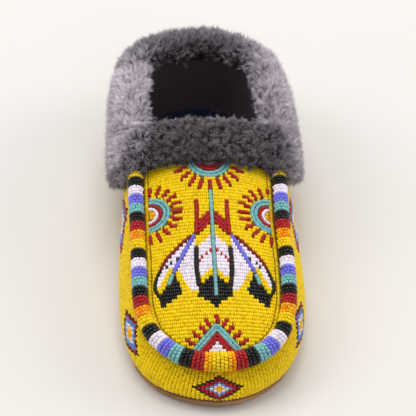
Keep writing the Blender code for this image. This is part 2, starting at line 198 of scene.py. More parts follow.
def plug(row, across):
    """The apron from its lateral seam (across 0) to its medial seam (across 1)."""
    row, across = pairs(row, across)
    values = around(row)[0]
    t = across[..., None]
    seams = values[..., TOP] * (1 - t) + around(TURN - row)[0][..., TOP] * t
    return seams + values[..., CROWN, None] * 4 * t * (1 - t) * [0, 0, 1]


def skin(row, reach):
    """The upper's outer face as one surface: the wall up to reach 1, the apron up to 2."""
    row, reach = pairs(row, reach)
    across = (reach - 1) / 2
    lateral = row <= HEEL_ROW
    across = np.where(lateral, across, 1 - across).clip(0, 1)
    apron = plug(np.where(lateral, row, TURN - row), across)
    return np.where((reach <= 1)[..., None], wall(row, reach.clip(0, 1)), apron)


def skin_at(row, across):
    """(row, reach) of a place on the apron, counted from the nearer of its two seams."""
    lateral = across <= 0.5
    return np.where(lateral, row, TURN - row), 1 + 2 * np.where(lateral, across, 1 - across)


def face_normal(row, reach, side):
    """Normal of the wall (side -1) or the apron (side 1) at points of the skin."""
    row, reach = pairs(row, reach)
    near, at = reach - NORMAL_STEP, reach
    if side > 0:  # the apron closes to a point at the toe, so its normal is read a little behind
        point = np.maximum(row, POINT_ROWS), np.minimum(row, TURN - POINT_ROWS)
        row = np.where(row <= HEEL_ROW, *point)
        near = at = reach + JUST_PAST
    along = skin(row + NORMAL_STEP, at) - skin(row - NORMAL_STEP, at)
    up = skin(row, near + NORMAL_STEP) - skin(row, near)
    return unit(np.cross(along, up))


def normal(row, reach):
    """Outward normal of the skin, turning smoothly from the wall to the apron at the seam."""
    row, reach = pairs(row, reach)
    from_toe = np.minimum(row, TURN - row)
    held = np.where(row <= HEEL_ROW, THROAT_ROW, TURN - THROAT_ROW)
    apron = face_normal(np.where(from_toe <= THROAT_ROW, row, held), reach.clip(1, 2), 1)
    on_apron = np.clip(1 - (from_toe - THROAT_ROW) / THROAT_FADE, 0, 1)[..., None]
    on_wall = np.clip(1 - (reach - 1) / SEAM_FADE, 0, 1)[..., None]
    above = unit(on_apron * apron + on_wall * face_normal(row, 1.0, -1))
    below = face_normal(row, reach.clip(LOWEST_REACH, 1), -1)
    return np.where((reach < 1)[..., None], below, above)


# -------- beads: sizes and colours

BEAD_PITCH = 1.18  # along a string
ROW_PITCH = 2.2  # from string to string
BEAD_RADIUS = 1.5  # strings lie so close that their beads press into each other
BEAD_LENGTH = 1.21
ROW_BEAD_LONGEST = 1.5
CONTOUR_BEAD_LONGEST = 1.75
DOT_LENGTH = 1.6
RING_RADIUS = 1.2  # of beads in the suns, the letter's bands and the tipi
STROKE_RADIUS = 1.24  # of beads in rays, letter and quills
BORDER_RADIUS = 1.35  # of beads beside the middle feather
EDGE_RADIUS = 1.0  # of beads along the outer feathers
CONTOUR_LIFT = 0.3  # of the contours' crests over the rows'
CONTOUR_EDGE = 5.1  # the contours end this far from the apron's seam
CONTOUR_CLEAR = 1.15  # between the middles of beads of two contours
FILL_CLEAR = 1.02  # of a contour bead's radius, from its middle line to the ends of the rows
FILL_SPREAD = 0.22  # of its length, from its middle to the other places kept clear
GROUND_DEPTH = 1.45  # of the backing cloth under the beads' crests

PALETTE = {  # linear base colours of the glass
    "yellow": (0.93, 0.668, 0.001),
    "amber": (0.92, 0.50, 0.001),
    "orange": (0.94, 0.30, 0.001),
    "red": (0.44, 0.018, 0.021),
    "maroon": (0.26, 0.012, 0.022),
    "black": (0.006, 0.006, 0.006),
    "white": (0.90, 0.83, 0.92),
    "blue": (0.20, 0.20, 0.80),
    "teal": (0.23, 0.53, 0.54),
    "sky": (0.12, 0.30, 0.66),
    "thread": (0.30, 0.17, 0.02),
}
COLOURS = list(PALETTE)

Beads = namedtuple("Beads", "place along out length radius colour")


def colour_number(name):
    return COLOURS.index(name)


def joined(*sets):
    return Beads(*[np.concatenate(columns) for columns in zip(*sets)])


def kept(beads, keep):
    return Beads(*[column[keep] for column in beads])


def beads_at(place, along, out, colour, length=BEAD_LENGTH, radius=BEAD_RADIUS):
    """Beads whose crests touch the surface at place, threaded along a direction."""
    count = len(place)
    out = unit(out)
    along = unit(along - (along * out).sum(-1, keepdims=True) * out)
    length, radius = (np.broadcast_to(np.asarray(size, float), count) for size in (length, radius))
    if isinstance(colour, str):
        colour = np.full(count, colour_number(colour))
    return Beads(place - out * radius[:, None], along, out, length, radius, colour)


def lengths_along(points):
    return np.concatenate([[0], np.cumsum(np.linalg.norm(np.diff(points, axis=0), axis=1))])


def read_at(wanted, lengths, table):
    """A table's columns at these lengths along the line that it follows."""
    return np.stack([np.interp(wanted, lengths, column) for column in table.T], axis=-1)


SIGHT = 0.3  # ahead and behind, where a line's direction is read


def at_length(points, lengths, wanted):
    """(points, directions) at these lengths along a polyline."""
    ahead, behind = (read_at(wanted + step, lengths, points) for step in (SIGHT, -SIGHT))
    return read_at(wanted, lengths, points), ahead - behind


def through(before, start, end, after, f):
    """Points of a Catmull-Rom curve from start to end, at shares f of the way."""
    square = 2 * before - 5 * start + 4 * end - after
    cube = 3 * start - before - 3 * end + after
    return 0.5 * (2 * start + (end - before) * f + square * f**2 + cube * f**3)


# -------- beads of the apron

EDGE_LINE = 4.15  # from the seam to the line of beads beside the roll,
STITCH_LINE = 5.45  # to the line of stitches
APRON_EDGE = 5.6  # and to the ends of the apron's rows
STITCH_PITCH = 2.3
STITCH = 1.0
THREAD_RADIUS = 0.30
APRON_END_Y = 9.0  # under the cuff
FIRST_ROW = 1.0  # from the apron's point
ROW_POINTS = 641
ROUNDED_UP = 0.1  # of a bead: a run that is nearly long enough gets one more
TOUCHING = 1.01  # of the pitch, so that a row's beads touch

FRONT_ROWS = np.linspace(0, THROAT_ROW, 1601)
FRONT_Y = around(FRONT_ROWS)[0][:, TOP_Y]
SEAM_ROWS = np.concatenate([TURN - FRONT_ROWS[::-4], FRONT_ROWS[::4]])
SEAM_PLAN = around(SEAM_ROWS)[0][:, [TOP_X, TOP_Y]]


def apron_at(x, y):
    """(points, normals) of the apron's outer face above points of the plan."""
    row = np.interp(y, FRONT_Y, FRONT_ROWS)
    lateral = around(row)[0][..., TOP_X]
    medial = around(TURN - row)[0][..., TOP_X]
    across = ((lateral - x) / np.maximum(lateral - medial, JUST_PAST)).clip(0, 1)
    return plug(row, across), face_normal(*skin_at(row, across), 1)


def seam_distance(x, y):
    """Distance in plan from the seam between the apron and the walls."""
    gaps = np.stack([x, y], axis=-1)[:, None, :] - SEAM_PLAN[None]
    return np.linalg.norm(gaps, axis=-1).min(axis=1)


def polar(centre, radius, degrees):
    """Points of the plan at a distance and a direction from a centre."""
    angles = np.radians(degrees)
    return np.stack([centre[0] + radius * np.cos(angles), centre[1] + radius * np.sin(angles)], -1)


def ray(centre, reach, degrees):
    return polar(centre, np.array(reach), degrees)


def arc(centre, radius, angles):
    return polar(centre, radius, np.linspace(*angles, ARC_STEPS))


def smooth(points):
    """A curve through points of the plan."""
    points = np.array(points, float)
    padded = np.vstack([2 * points[0] - points[1], points, 2 * points[-1] - points[-2]])
    f = np.linspace(0, 1, CURVE_STEPS, endpoint=False)[:, None]
    runs = [through(*padded[i : i + 4], f) for i in range(len(points) - 1)]
    return np.vstack(runs + [points[-1:]])


def inside(polygon, x, y):
    """Whether points lie in a polygon of the plan."""
    found = np.zeros(len(x), bool)
    for (x0, y0), (x1, y1) in zip(polygon, polygon[1:] + polygon[:1]):
        spans = (y0 > y) != (y1 > y)
        if y1 != y0:
            found ^= spans & (x < x0 + (y - y0) * (x1 - x0) / (y1 - y0))
    return found


# Ornament of the apron, in plan. What has a side is drawn at -X and again, mirrored, at +X.
ARC_STEPS = 40
CURVE_STEPS = 12
CONTOUR_STEP = 0.2
MIDLINE_X = -0.6
SUN_HEART = 4.2
RAY_STEP = 17.2  # degrees from ray to ray
THROAT_SUN = (-1.0, 5.0)
THROAT_STRINGS = (("red", 5.4), ("red", 7.6), ("teal", 10.0), ("teal", 12.2))
THROAT_ANGLES = (178, 362)
THROAT_RAY = (14.8, 21.4)
THROAT_RAYS = range(-4, 5)
SIDE_SUN = {-1: (-37.5, -28.8), 1: (34.9, -29.3)}
SIDE_ANGLES = {-1: (86, -86), 1: (94, 266)}
SIDE_STRINGS = (("white", 5.3), ("red", 7.5), ("teal", 9.7), ("teal", 11.9))
SIDE_HEIGHT = 0.88  # of its width
SIDE_RAY = (13.9, 19.8)
SIDE_RAY_HEIGHT = 0.95
SIDE_RAYS = range(-5, 6)
TIPI_STRINGS = (  # colour, height of its point, and reach
    ("teal", -98.9, 13.6), ("teal", -101.6, 11.6), ("red", -104.1, 9.4), ("red", -106.3, 7.8),
)
TIPI_SLOPE = 1.03
TIPI_START = 0.3  # of its strings, from the midline
TIPI_RAYS = (  # root and tip
    ((3.4, -100.0), (6.0, -96.3)),
    ((6.1, -102.8), (9.2, -99.5)),
    ((9.4, -106.0), (13.0, -103.2)),
    ((12.8, -109.2), (16.8, -106.7)),
    ((15.8, -112.2), (19.4, -110.3)),
)
TIPI_TOP_RAY = ((0.6, -97.9), (-1.0, -93.4))
QUILL = ((-0.9, -16.8), (-0.7, -40.0), (-0.4, -62.0), (-0.2, -82.6))
LETTER_STROKE = ((8.9, -22.9), (8.8, -29.9), (9.0, -35.9), (9.6, -44.3))
LETTER_BANDS = (-30.7, -33.4, -36.1)
LETTER_BAND_ENDS = np.array(((1.3, -0.3), (8.2, -7.7)))
BORDER = ((9.7, -53.3), (10.0, -60.4), (9.9, -67.9), (9.3, -73.4), (8.9, -76.3))
CHEVRON = [(0.0, -64.7), (1.2, -65.9), (8.9, -73.1), (8.6, -76.7), (7.4, -76.1), (0.0, -68.7)]
PENTAGON = [
    (0.0, -68.7), (7.4, -76.1), (9.8, -76.9), (9.6, -83.8), (6.0, -83.9), (5.8, -86.0), (2.7, -86.1),
    (2.6, -88.1), (1.0, -88.2), (0.9, -90.5), (0.0, -90.5),
]
MIDDLE_DOTS = ((2.1, -54.9), (4.2, -56.9), (6.4, -58.9), (8.3, -61.3))
FEATHER_EDGE = (
    (10.6, -44.3), (16.7, -49.1), (21.3, -53.3), (25.6, -57.2), (28.4, -60.9), (30.0, -64.1),
)
FEATHER_EDGE_END = (
    (30.0, -64.1), (32.5, -69.4), (33.6, -73.6), (33.2, -77.3), (31.3, -80.5), (30.2, -83.3), (29.5, -87.5),
)
FEATHER_QUILL = ((10.7, -45.2), (17.2, -56.6), (23.2, -67.5))
FEATHER_QUILL_END = ((23.2, -67.5), (25.8, -74.3))
FEATHER_ARMS = (
    ((24.6, -66.9), (27.8, -72.5), (30.8, -77.1), (30.9, -79.9)),
    ((21.2, -66.9), (18.6, -72.9), (15.4, -78.1), (17.6, -79.5)),
)
FEATHER_TIP = [
    (22.6, -68.1), (26.4, -74.3), (29.4, -78.3), (30.6, -81.9), (29.9, -85.3), (30.0, -88.3), (28.9, -88.3),
    (27.4, -85.7), (24.2, -84.7), (22.6, -82.9), (19.8, -81.7), (18.4, -78.5), (19.6, -74.7),
]
FEATHER_DOTS = ((20.7, -58.4), (23.7, -60.1), (26.1, -62.2))
FEATHER_VANE = list(FEATHER_EDGE + FEATHER_EDGE_END[1:-2]) + [(22.8, -66.5), (16.4, -80.1), (9.6, -80.1)]
ARM_WIDTH = 1.65  # to each side of its middle
DRAWN_TWICE = (  # colour, curve and the radius of its beads
    ("black", BORDER, BORDER_RADIUS),
    ("blue", FEATHER_QUILL, STROKE_RADIUS),
    ("teal", FEATHER_QUILL_END, STROKE_RADIUS),
    ("maroon", FEATHER_EDGE, EDGE_RADIUS),
    ("black", FEATHER_EDGE_END, EDGE_RADIUS),
)

# Sloping edges of fields of colour: height on the midline, and fall to the side
FEATHER_TOP, FEATHER_FOOT, FEATHER_WIDTH = (-45.0, 0.83), (-66.0, 0.9), 9.6
TIPI_POINT, TIPI_POINT_WIDTH = (-97.0, 1.0), 4
TIPI_RED, TIPI_RED_WIDTH = (-103.0, 1.0), 7
TIPI_WHITE, TIPI_WHITE_WIDTH = (-107.2, 1.2), 4.4


def path_distance(path, x, y):
    """Distance in plan from a chain of straight runs."""
    nearest = np.full(len(x), 1e9)
    for (x0, y0), (x1, y1) in zip(path, path[1:]):
        run, rise = x1 - x0, y1 - y0
        share = (((x - x0) * run + (y - y0) * rise) / (run**2 + rise**2)).clip(0, 1)
        nearest = np.minimum(nearest, np.hypot(x - x0 - share * run, y - y0 - share * rise))
    return nearest


def apron_colours(x, y):
    """The chart of the rows: a colour number for each bead of the plan."""
    side = np.abs(x - MIDLINE_X)
    chart = np.full(len(x), colour_number("yellow"))

    def paint(name, where):
        chart[where] = colour_number(name)

    def under(edge):
        return y < edge[0] - edge[1] * side

    for sun in SIDE_SUN.values():
        paint("amber", np.hypot(x - sun[0], (y - sun[1]) / SIDE_HEIGHT) < SUN_HEART)
    paint("white", np.hypot(x - THROAT_SUN[0], y - THROAT_SUN[1]) < SUN_HEART)
    paint("white", under(FEATHER_TOP) & ~under(FEATHER_FOOT) & (side < FEATHER_WIDTH))
    paint("white", inside(FEATHER_VANE, side, y))
    for arm in FEATHER_ARMS:
        paint("yellow", path_distance(arm, side, y) < ARM_WIDTH)
    paint("black", inside(FEATHER_TIP, side, y))
    paint("yellow", inside(CHEVRON, side, y))
    paint("black", inside(PENTAGON, side, y))
    paint("teal", under(TIPI_POINT) & ~under(TIPI_RED) & (side < TIPI_POINT_WIDTH))
    paint("red", under(TIPI_RED) & (side < TIPI_RED_WIDTH))
    paint("white", under(TIPI_WHITE) & (side < TIPI_WHITE_WIDTH))
    return chart


def rings(middle, strings, angles):
    return [(name, arc(middle, radius, angles), RING_RADIUS) for name, radius in strings]


def rays(middle, reach, numbers, degrees):
    return [("red", ray(middle, reach, degrees + RAY_STEP * k), STROKE_RADIUS) for k in numbers]


def apron_contours():
    """(colour, curve, bead radius) of each string that follows the ornament and not the rows."""
    yield from rings(THROAT_SUN, THROAT_STRINGS, THROAT_ANGLES)
    yield from rays(THROAT_SUN, THROAT_RAY, THROAT_RAYS, 270)
    yield "teal", smooth(QUILL), STROKE_RADIUS
    yield "red", np.array(TIPI_TOP_RAY), STROKE_RADIUS
    for sign in (-1, 1):
        def across(points):
            return np.array(points, float) * [sign, 1] + [MIDLINE_X, 0]

        angles = SIDE_ANGLES[sign]
        for name, curve, radius in rings((0, 0), SIDE_STRINGS, angles):
            yield name, curve * [1, SIDE_HEIGHT] + SIDE_SUN[sign], radius
        for name, curve, radius in rays((0, 0), SIDE_RAY, SIDE_RAYS, sum(angles) / 2):
            yield name, curve * [1, SIDE_RAY_HEIGHT] + SIDE_SUN[sign], radius
        for ends in TIPI_RAYS:
            yield "red", across(ends), STROKE_RADIUS
        for name, top, reach in TIPI_STRINGS:
            yield name, across([(TIPI_START, top), (reach, top - TIPI_SLOPE * reach)]), RING_RADIUS
        yield "red", smooth(across(LETTER_STROKE)), STROKE_RADIUS
        for top in LETTER_BANDS:
            yield "red", across(LETTER_BAND_ENDS + [0, top]), RING_RADIUS
        for name, points, radius in DRAWN_TWICE:
            yield name, smooth(across(points)), radius


CHUNK = 400  # points measured at a time, to spare memory


def contour_beads():
    """The contours' beads, left out where they would touch one that is already sewn on."""
    found = None
    for name, curve, radius in apron_contours():
        fine = lengths_along(curve)
        steps = np.linspace(0, fine[-1], max(int(fine[-1] / CONTOUR_STEP), 4))
        plan = read_at(steps, fine, curve)
        place, out = apron_at(*plan.T)
        lengths = lengths_along(place)
        count = max(int(round(lengths[-1] / BEAD_PITCH)), 1)
        wanted = (np.arange(count) + 0.5) * lengths[-1] / count
        where, along = at_length(place, lengths, wanted)
        outs = unit(read_at(wanted, lengths, out))
        length = min(lengths[-1] / count, CONTOUR_BEAD_LONGEST)
        beads = beads_at(where + CONTOUR_LIFT * outs, along, outs, name, length, radius)
        beads = kept(beads, seam_distance(*read_at(wanted, lengths, plan).T) > CONTOUR_EDGE)
        if found is not None:
            beads = kept(beads, distance_to(beads.place, found.place) > CONTOUR_CLEAR)
            beads = joined(found, beads)
        found = beads
    return found


def distance_to(points, others, clear=0.0):
    """Distance from each point to the nearest of the others, less what each must keep clear."""
    nearest = np.empty(len(points))
    for i in range(0, len(points), CHUNK):
        gaps = points[i : i + CHUNK, None] - others[None]
        nearest[i : i + CHUNK] = (np.sqrt((gaps**2).sum(-1)) - clear).min(axis=1)
    return nearest


def runs_of(free):
    """(first, last) of each unbroken run of true values."""
    edges = np.flatnonzero(np.diff(np.concatenate([[False], free, [False]]).astype(int)))
    return zip(edges[::2], edges[1::2] - 1)


def row_beads(contours):
    """Rows straight across the apron, which fill whatever the contours leave free."""
    lengths = lengths_along(plug(FRONT_ROWS, 0.5))
    rows = np.interp(np.arange(FIRST_ROW, lengths[-1], ROW_PITCH), lengths, FRONT_ROWS)
    rows = rows[np.interp(rows, FRONT_ROWS, FRONT_Y) < APRON_END_Y]
    crests = contours.place + contours.radius[:, None] * contours.out
    ends = FILL_SPREAD * contours.along * contours.length[:, None]
    crests = np.concatenate([crests - ends, crests, crests + ends])
    clear = FILL_CLEAR * np.tile(contours.radius, 3)
    sets = []
    for row in rows:
        line = plug(row, np.linspace(0, 1, ROW_POINTS))
        lengths = lengths_along(line)
        free = seam_distance(line[:, 0], line[:, 1]) > APRON_EDGE
        free &= distance_to(line, crests, clear) > 0
        for first, last in runs_of(free):
            span = lengths[last] - lengths[first]
            count = int(round(span / BEAD_PITCH + ROUNDED_UP))
            if count == 0:
                continue
            wanted = lengths[first] + (np.arange(count) + 0.5) * span / count
            where, along = at_length(line, lengths, wanted)
            x, y = where[:, 0], where[:, 1]
            length = min(TOUCHING * span / count, ROW_BEAD_LONGEST)
            sets.append(beads_at(where, along, apron_at(x, y)[1], apron_colours(x, y), length))
    beads = joined(*sets)
    for name, dots in (("red", MIDDLE_DOTS), ("black", FEATHER_DOTS)):
        for side, y in dots:
            for x in (MIDLINE_X - side, MIDLINE_X + side):
                nearest = np.hypot(beads.place[:, 0] - x, beads.place[:, 1] - y).argmin()
                beads.colour[nearest] = colour_number(name)
                beads.length[nearest] = DOT_LENGTH
    return beads


def line_beads(distance, pitch, colour=None, **sizes):
    """A string this far in from the apron's seam, from the cuff round the toe to the cuff."""
    end = np.interp(APRON_END_Y, FRONT_Y, FRONT_ROWS)
    rows = np.concatenate([TURN - FRONT_ROWS[:0:-2], FRONT_ROWS[::2]])
    rows = rows[np.minimum(rows, TURN - rows) < end]
    values, slopes = around(rows)
    inward = -level_out(slopes, TOP_X, TOP_Y)
    x = values[:, TOP_X] + distance * inward[:, 0]
    y = values[:, TOP_Y] + distance * inward[:, 1]
    place, out = apron_at(x, y)
    lengths = lengths_along(place)
    wanted = np.arange(pitch / 2, lengths[-1], pitch)
    where, along = at_length(place, lengths, wanted)
    if colour is None:
        colour = apron_colours(where[:, 0], where[:, 1])
    return beads_at(where, along, read_at(wanted, lengths, out), colour, **sizes)


# -------- beads of the walls

WALL_PITCH = 2.1  # from string to string
WALL_POINTS = 61  # along a string
WALL_SAMPLES = 1301  # along one side of the shoe
WALL_BEAD_OVERLAP = 0.98  # of the pitch
WALL_BEAD_WIDTH = 0.62  # of the space between its string's neighbours
WALL_BEAD_RADII = (0.95, 1.42)
WALL_START = 0.1  # from the sole
WALL_STRAY = 0.08  # of a string's start
GAP_STEP = 0.02  # of a row, over which the space between strings is measured
WALL_BEAD_PITCH = ((90, 130), (1.18, 1.5))  # along a string, by the distance round the wall
ROLL_COVERS = 4.3  # of the wall, below the seam
CUFF_COVER = ((0, 7.2, 7.34, 7.6, 8.05, 8.65, 13), (1, 1, 0.97, 0.78, 0.64, 0.57, 0.57))

# Stepped diamonds: distance round the wall from the toe on either side, how many beads up the
# string their middle lies and how many more it rises from string to string, strings to a bead,
# and how many strings each colour reaches.
Diamond = namedtuple("Diamond", "lateral medial up rise slope bands")
DIAMONDS = (
    Diamond(0.0, 0.0, 8, 0.0, 1.0, (6.5, 5.5, 3.5, 2.5, 1.5)),
    Diamond(71.0, 65.2, 14, 0.47, 1.0, (7.6, 6.6, 5.3, 3.7, 2.6)),
    Diamond(147.0, 147.0, 17, 0.135, 1.5, (12.5, 11.2, 8.2, 5.8, 4.0)),
)
DIAMOND_COLOURS = ("black", "red", "sky", "white", "amber")


def wall_colours(side, string, step, count):
    """Colours of one string's beads, from the sole up."""
    chart = np.full(count, colour_number("yellow"))
    for diamond in DIAMONDS:
        middle = round((diamond.lateral if side > 0 else diamond.medial) / step)
        up = round(diamond.up + diamond.rise * (string - middle))
        away = abs(string - middle) + diamond.slope * np.abs(np.arange(count) - up)
        for name, size in zip(DIAMOND_COLOURS, diamond.bands):
            chart[away < size] = colour_number(name)
    return chart


def wall_beads(side):
    """Strings from the roll or the cuff down to the sole, on one side of the shoe."""
    rows = np.linspace(0, HEEL_ROW, WALL_SAMPLES)
    round_toe = lengths_along(wall(rows, 0.5))
    count = int(round(round_toe[-1] / WALL_PITCH))
    step = round_toe[-1] / count
    reach = np.linspace(0, 1, WALL_POINTS)
    sets = []
    random = np.random.default_rng(11 + side)
    for string in range(count + 1) if side > 0 else range(1, count):
        row = np.interp(string * step, round_toe, rows)
        ring_row = row if side > 0 else TURN - row

        def spacing(at):
            gaps = wall(ring_row + GAP_STEP, at) - wall(ring_row - GAP_STEP, at)
            return np.linalg.norm(gaps, axis=-1)

        line = wall(ring_row, reach)
        lengths = lengths_along(line)
        pitch = np.interp(string * step, *WALL_BEAD_PITCH)
        top = min(lengths[-1] - ROLL_COVERS, np.interp(row, *CUFF_COVER) * lengths[-1])
        wanted = np.arange(0.5 * pitch + WALL_START, top, pitch)
        wanted = wanted + random.uniform(-WALL_STRAY, WALL_STRAY)
        where, along = at_length(line, lengths, wanted)
        at = np.interp(wanted, lengths, reach)
        gap = spacing(at) * (step / spacing(0.5))
        radius = (WALL_BEAD_WIDTH * gap).clip(*WALL_BEAD_RADII)
        out = face_normal(ring_row, at.clip(LOWEST_REACH, 1), -1)
        chart = wall_colours(side, string, step, len(at))
        sets.append(beads_at(where, along, out, chart, WALL_BEAD_OVERLAP * pitch, radius))
    return joined(*sets)


# -------- beads of the roll

ROLL_SIDE_RADIUS = 4.6
ROLL_TOE_RADIUS = 5.7
ROLL_TOE_ROWS = 4  # over which it thins to its side's radius
ROLL_LIFT = 0.62  # of its radius, from the seam to its middle
ROLL_PITCH = 2.06
ROLL_BEAD = 1.12  # radius
ROLL_BEAD_LENGTH = 1.72
ROLL_BEAD_PITCH = 1.78
ROLL_ARC = (-34, 212)  # degrees round it, from the wall to the apron
ROLL_STRAY = 2  # degrees
ROLL_END = 149.5  # mm from the toe, under the cuff
BAND_STRINGS = 3
HIDDEN_STRINGS = 6
AMBER_SHARE = 0.35  # of the beads in an orange band
TOE_STRINGS = ("yellow", "yellow", "amber", "orange")
FIRST_BANDS = ("red", "black", "teal", "blue", "white", "black")
NEXT_BANDS = ("yellow", "orange", "red", "black", "teal", "blue", "white", "black")


def roll_frame(row):
    """(middle, side, up, radius) of the roll's round section at each row.

    It is a little thicker round the toe than along the sides.
    """
    from_toe = np.minimum(row % TURN, TURN - row % TURN)
    thicker = (ROLL_TOE_RADIUS - ROLL_SIDE_RADIUS) * np.clip(1 - from_toe / ROLL_TOE_ROWS, 0, 1)
    radius = ROLL_SIDE_RADIUS + thicker
    up = normal(row, 1.0)
    side = unit(np.cross(around(row)[1][..., TOP], up))
    return skin(row, 1.0) + (ROLL_LIFT * radius)[..., None] * up, side, up, radius


def roll_bands():
    """Colour of each string from the middle of the toe to the cuff."""
    bands = FIRST_BANDS + NEXT_BANDS + NEXT_BANDS
    strings = tuple(name for name in bands for _ in range(BAND_STRINGS))
    return TOE_STRINGS + strings + ("yellow",) * HIDDEN_STRINGS


def roll_beads():
    sets = []
    random = np.random.default_rng(5)
    for rows in (TURN - FRONT_ROWS, FRONT_ROWS):
        lengths = lengths_along(around(rows)[0][:, TOP])
        for number, name in enumerate(roll_bands()):
            station = (number + 0.5) * ROLL_PITCH
            if station > ROLL_END:
                break
            row = np.array([np.interp(station, lengths, rows)])
            middle, side, up, radius = (value[0] for value in roll_frame(row))
            step = math.degrees(ROLL_BEAD_PITCH / (radius - ROLL_BEAD))
            start = ROLL_ARC[0] + number % 2 * step / 2 + random.uniform(-ROLL_STRAY, ROLL_STRAY)
            angles = np.radians(np.arange(start, ROLL_ARC[1], step))
            out = np.cos(angles)[:, None] * side + np.sin(angles)[:, None] * up
            along = -np.sin(angles)[:, None] * side + np.cos(angles)[:, None] * up
            chart = np.full(len(angles), colour_number(name))
            if name == "orange":
                chart[random.random(len(angles)) < AMBER_SHARE] = colour_number("amber")
            place = middle + radius * out
            sets.append(beads_at(place, along, out, chart, ROLL_BEAD_LENGTH, ROLL_BEAD))
    return joined(*sets)


# -------- materials

STRAND_MAP = "strand"  # across: a random shade of each strand, up: from its root to its tip
BAKE_MAP = "OFBake"  # a map laid out for baking a piece's colours
MAP_MARGIN = 0.01  # round the hairs' map
NOISE_ROUGHNESS = 0.55
GLASS_ROUGHNESS = 0.32

Gloss = namedtuple("Gloss", "specular coat roughness lightest")
GLOSS = Gloss(0.22, 0.10, 0.15, 1.07)
BLACK_GLOSS = Gloss(0.10, 0.50, 0.04, 2.675)  # black beads glint, and some are greyer


def new_material(name, roughness, **sockets):
    """(material, nodes, links, shader)"""
    made = bpy.data.materials.new(name)
    made.use_nodes = True
    tree = made.node_tree
    shader = tree.nodes["Principled BSDF"]
    for key, value in {"roughness": roughness, **sockets}.items():
        shader.inputs[key.replace("_", " ").title().replace("Ior", "IOR")].default_value = value
    return made, tree.nodes, tree.links, shader


def ramp(nodes, stops):
    """A colour ramp through (position, colour) stops."""
    node = nodes.new("ShaderNodeValToRGB")
    elements = node.color_ramp.elements
    while len(elements) < len(stops):
        elements.new(0.5)
    for element, (position, colour) in zip(elements, stops):
        element.position = position
        element.color = (*colour, 1)
    return node


def noise(nodes, links, scale, detail=4.0):
    """Noise over the object's own coordinates, with scale in waves to a metre."""
    coordinates = nodes.new("ShaderNodeTexCoord")
    made = nodes.new("ShaderNodeTexNoise")
    for key, value in (("Scale", scale), ("Detail", detail), ("Roughness", NOISE_ROUGHNESS)):
        made.inputs[key].default_value = value
    links.new(coordinates.outputs["Object"], made.inputs["Vector"])
    return made


def colour_from(nodes, links, source, stops, shader):
    """Colours a shader by a ramp that follows a source."""
    colours = ramp(nodes, stops)
    links.new(source, colours.inputs["Fac"])
    links.new(colours.outputs["Color"], shader.inputs["Base Color"])


def add_bump(nodes, links, shader, height, strength, distance):
    bump = nodes.new("ShaderNodeBump")
    bump.inputs["Strength"].default_value = strength
    bump.inputs["Distance"].default_value = distance
    links.new(height, bump.inputs["Height"])
    links.new(bump.outputs["Normal"], shader.inputs["Normal"])


def shaded(colour, by):
    return tuple(min(channel * by, 1.0) for channel in colour)


def bead_glass(name, colour):
    """Opaque dyed glass: every bead has its own shade, and a few are darker."""
    gloss = BLACK_GLOSS if name == "black" else GLOSS
    made, nodes, links, shader = new_material(
        "glass_" + name, GLASS_ROUGHNESS, specular_ior_level=gloss.specular, coat_weight=gloss.coat,
        coat_roughness=gloss.roughness,
    )
    shades = (0.0, 0.78), (0.06, 0.91), (0.5, 1.0), (1.0, gloss.lightest)
    island = nodes.new("ShaderNodeNewGeometry").outputs["Random Per Island"]
    colour_from(nodes, links, island, [(at, shaded(colour, by)) for at, by in shades], shader)
    return made


def cloth(name, dark, light, scale, roughness=0.9, bump=0.4, depth=0.0004):
    """A cloth or leather whose colour and height both follow a fine noise."""
    made, nodes, links, shader = new_material(name, roughness)
    grain = noise(nodes, links, scale).outputs["Fac"]
    colour_from(nodes, links, grain, ((0.3, dark), (0.7, light)), shader)
    add_bump(nodes, links, shader, grain, bump, depth)
    return made


def sole_leather():
    """Tan leather with a worn patchy tone and a pebbled grain."""
    made, nodes, links, shader = new_material("sole_leather", 0.62)
    stops = (0.25, (0.24, 0.11, 0.030)), (0.55, (0.42, 0.205, 0.055)), (0.85, (0.53, 0.28, 0.085))
    colour_from(nodes, links, noise(nodes, links, 60.0, detail=5.0).outputs["Fac"], stops, shader)
    grain = noise(nodes, links, 900.0, detail=3.0).outputs["Fac"]
    add_bump(nodes, links, shader, grain, 0.35, 0.0004)
    return made


def fur_material(name, stops, shade_spread):
    """Hair that is dark at its root and light at its tip, each strand in its own shade."""
    made, nodes, links, shader = new_material(
        name, 0.55, sheen_weight=0.12, sheen_roughness=0.4, specular_ior_level=0.3
    )
    places = nodes.new("ShaderNodeUVMap")
    places.uv_map = STRAND_MAP
    parts = nodes.new("ShaderNodeSeparateXYZ")
    links.new(places.outputs["UV"], parts.inputs["Vector"])
    tone = nodes.new("ShaderNodeMapRange")
    tone.inputs["To Min"].default_value = 1 - shade_spread
    tone.inputs["To Max"].default_value = 1 + shade_spread
    links.new(parts.outputs["X"], tone.inputs["Value"])
    mixed = nodes.new("ShaderNodeHueSaturation")
    links.new(tone.outputs["Result"], mixed.inputs["Value"])
    colours = ramp(nodes, stops)
    links.new(parts.outputs["Y"], colours.inputs["Fac"])
    links.new(colours.outputs["Color"], mixed.inputs["Color"])
    links.new(mixed.outputs["Color"], shader.inputs["Base Color"])
    return made


# -------- making pieces


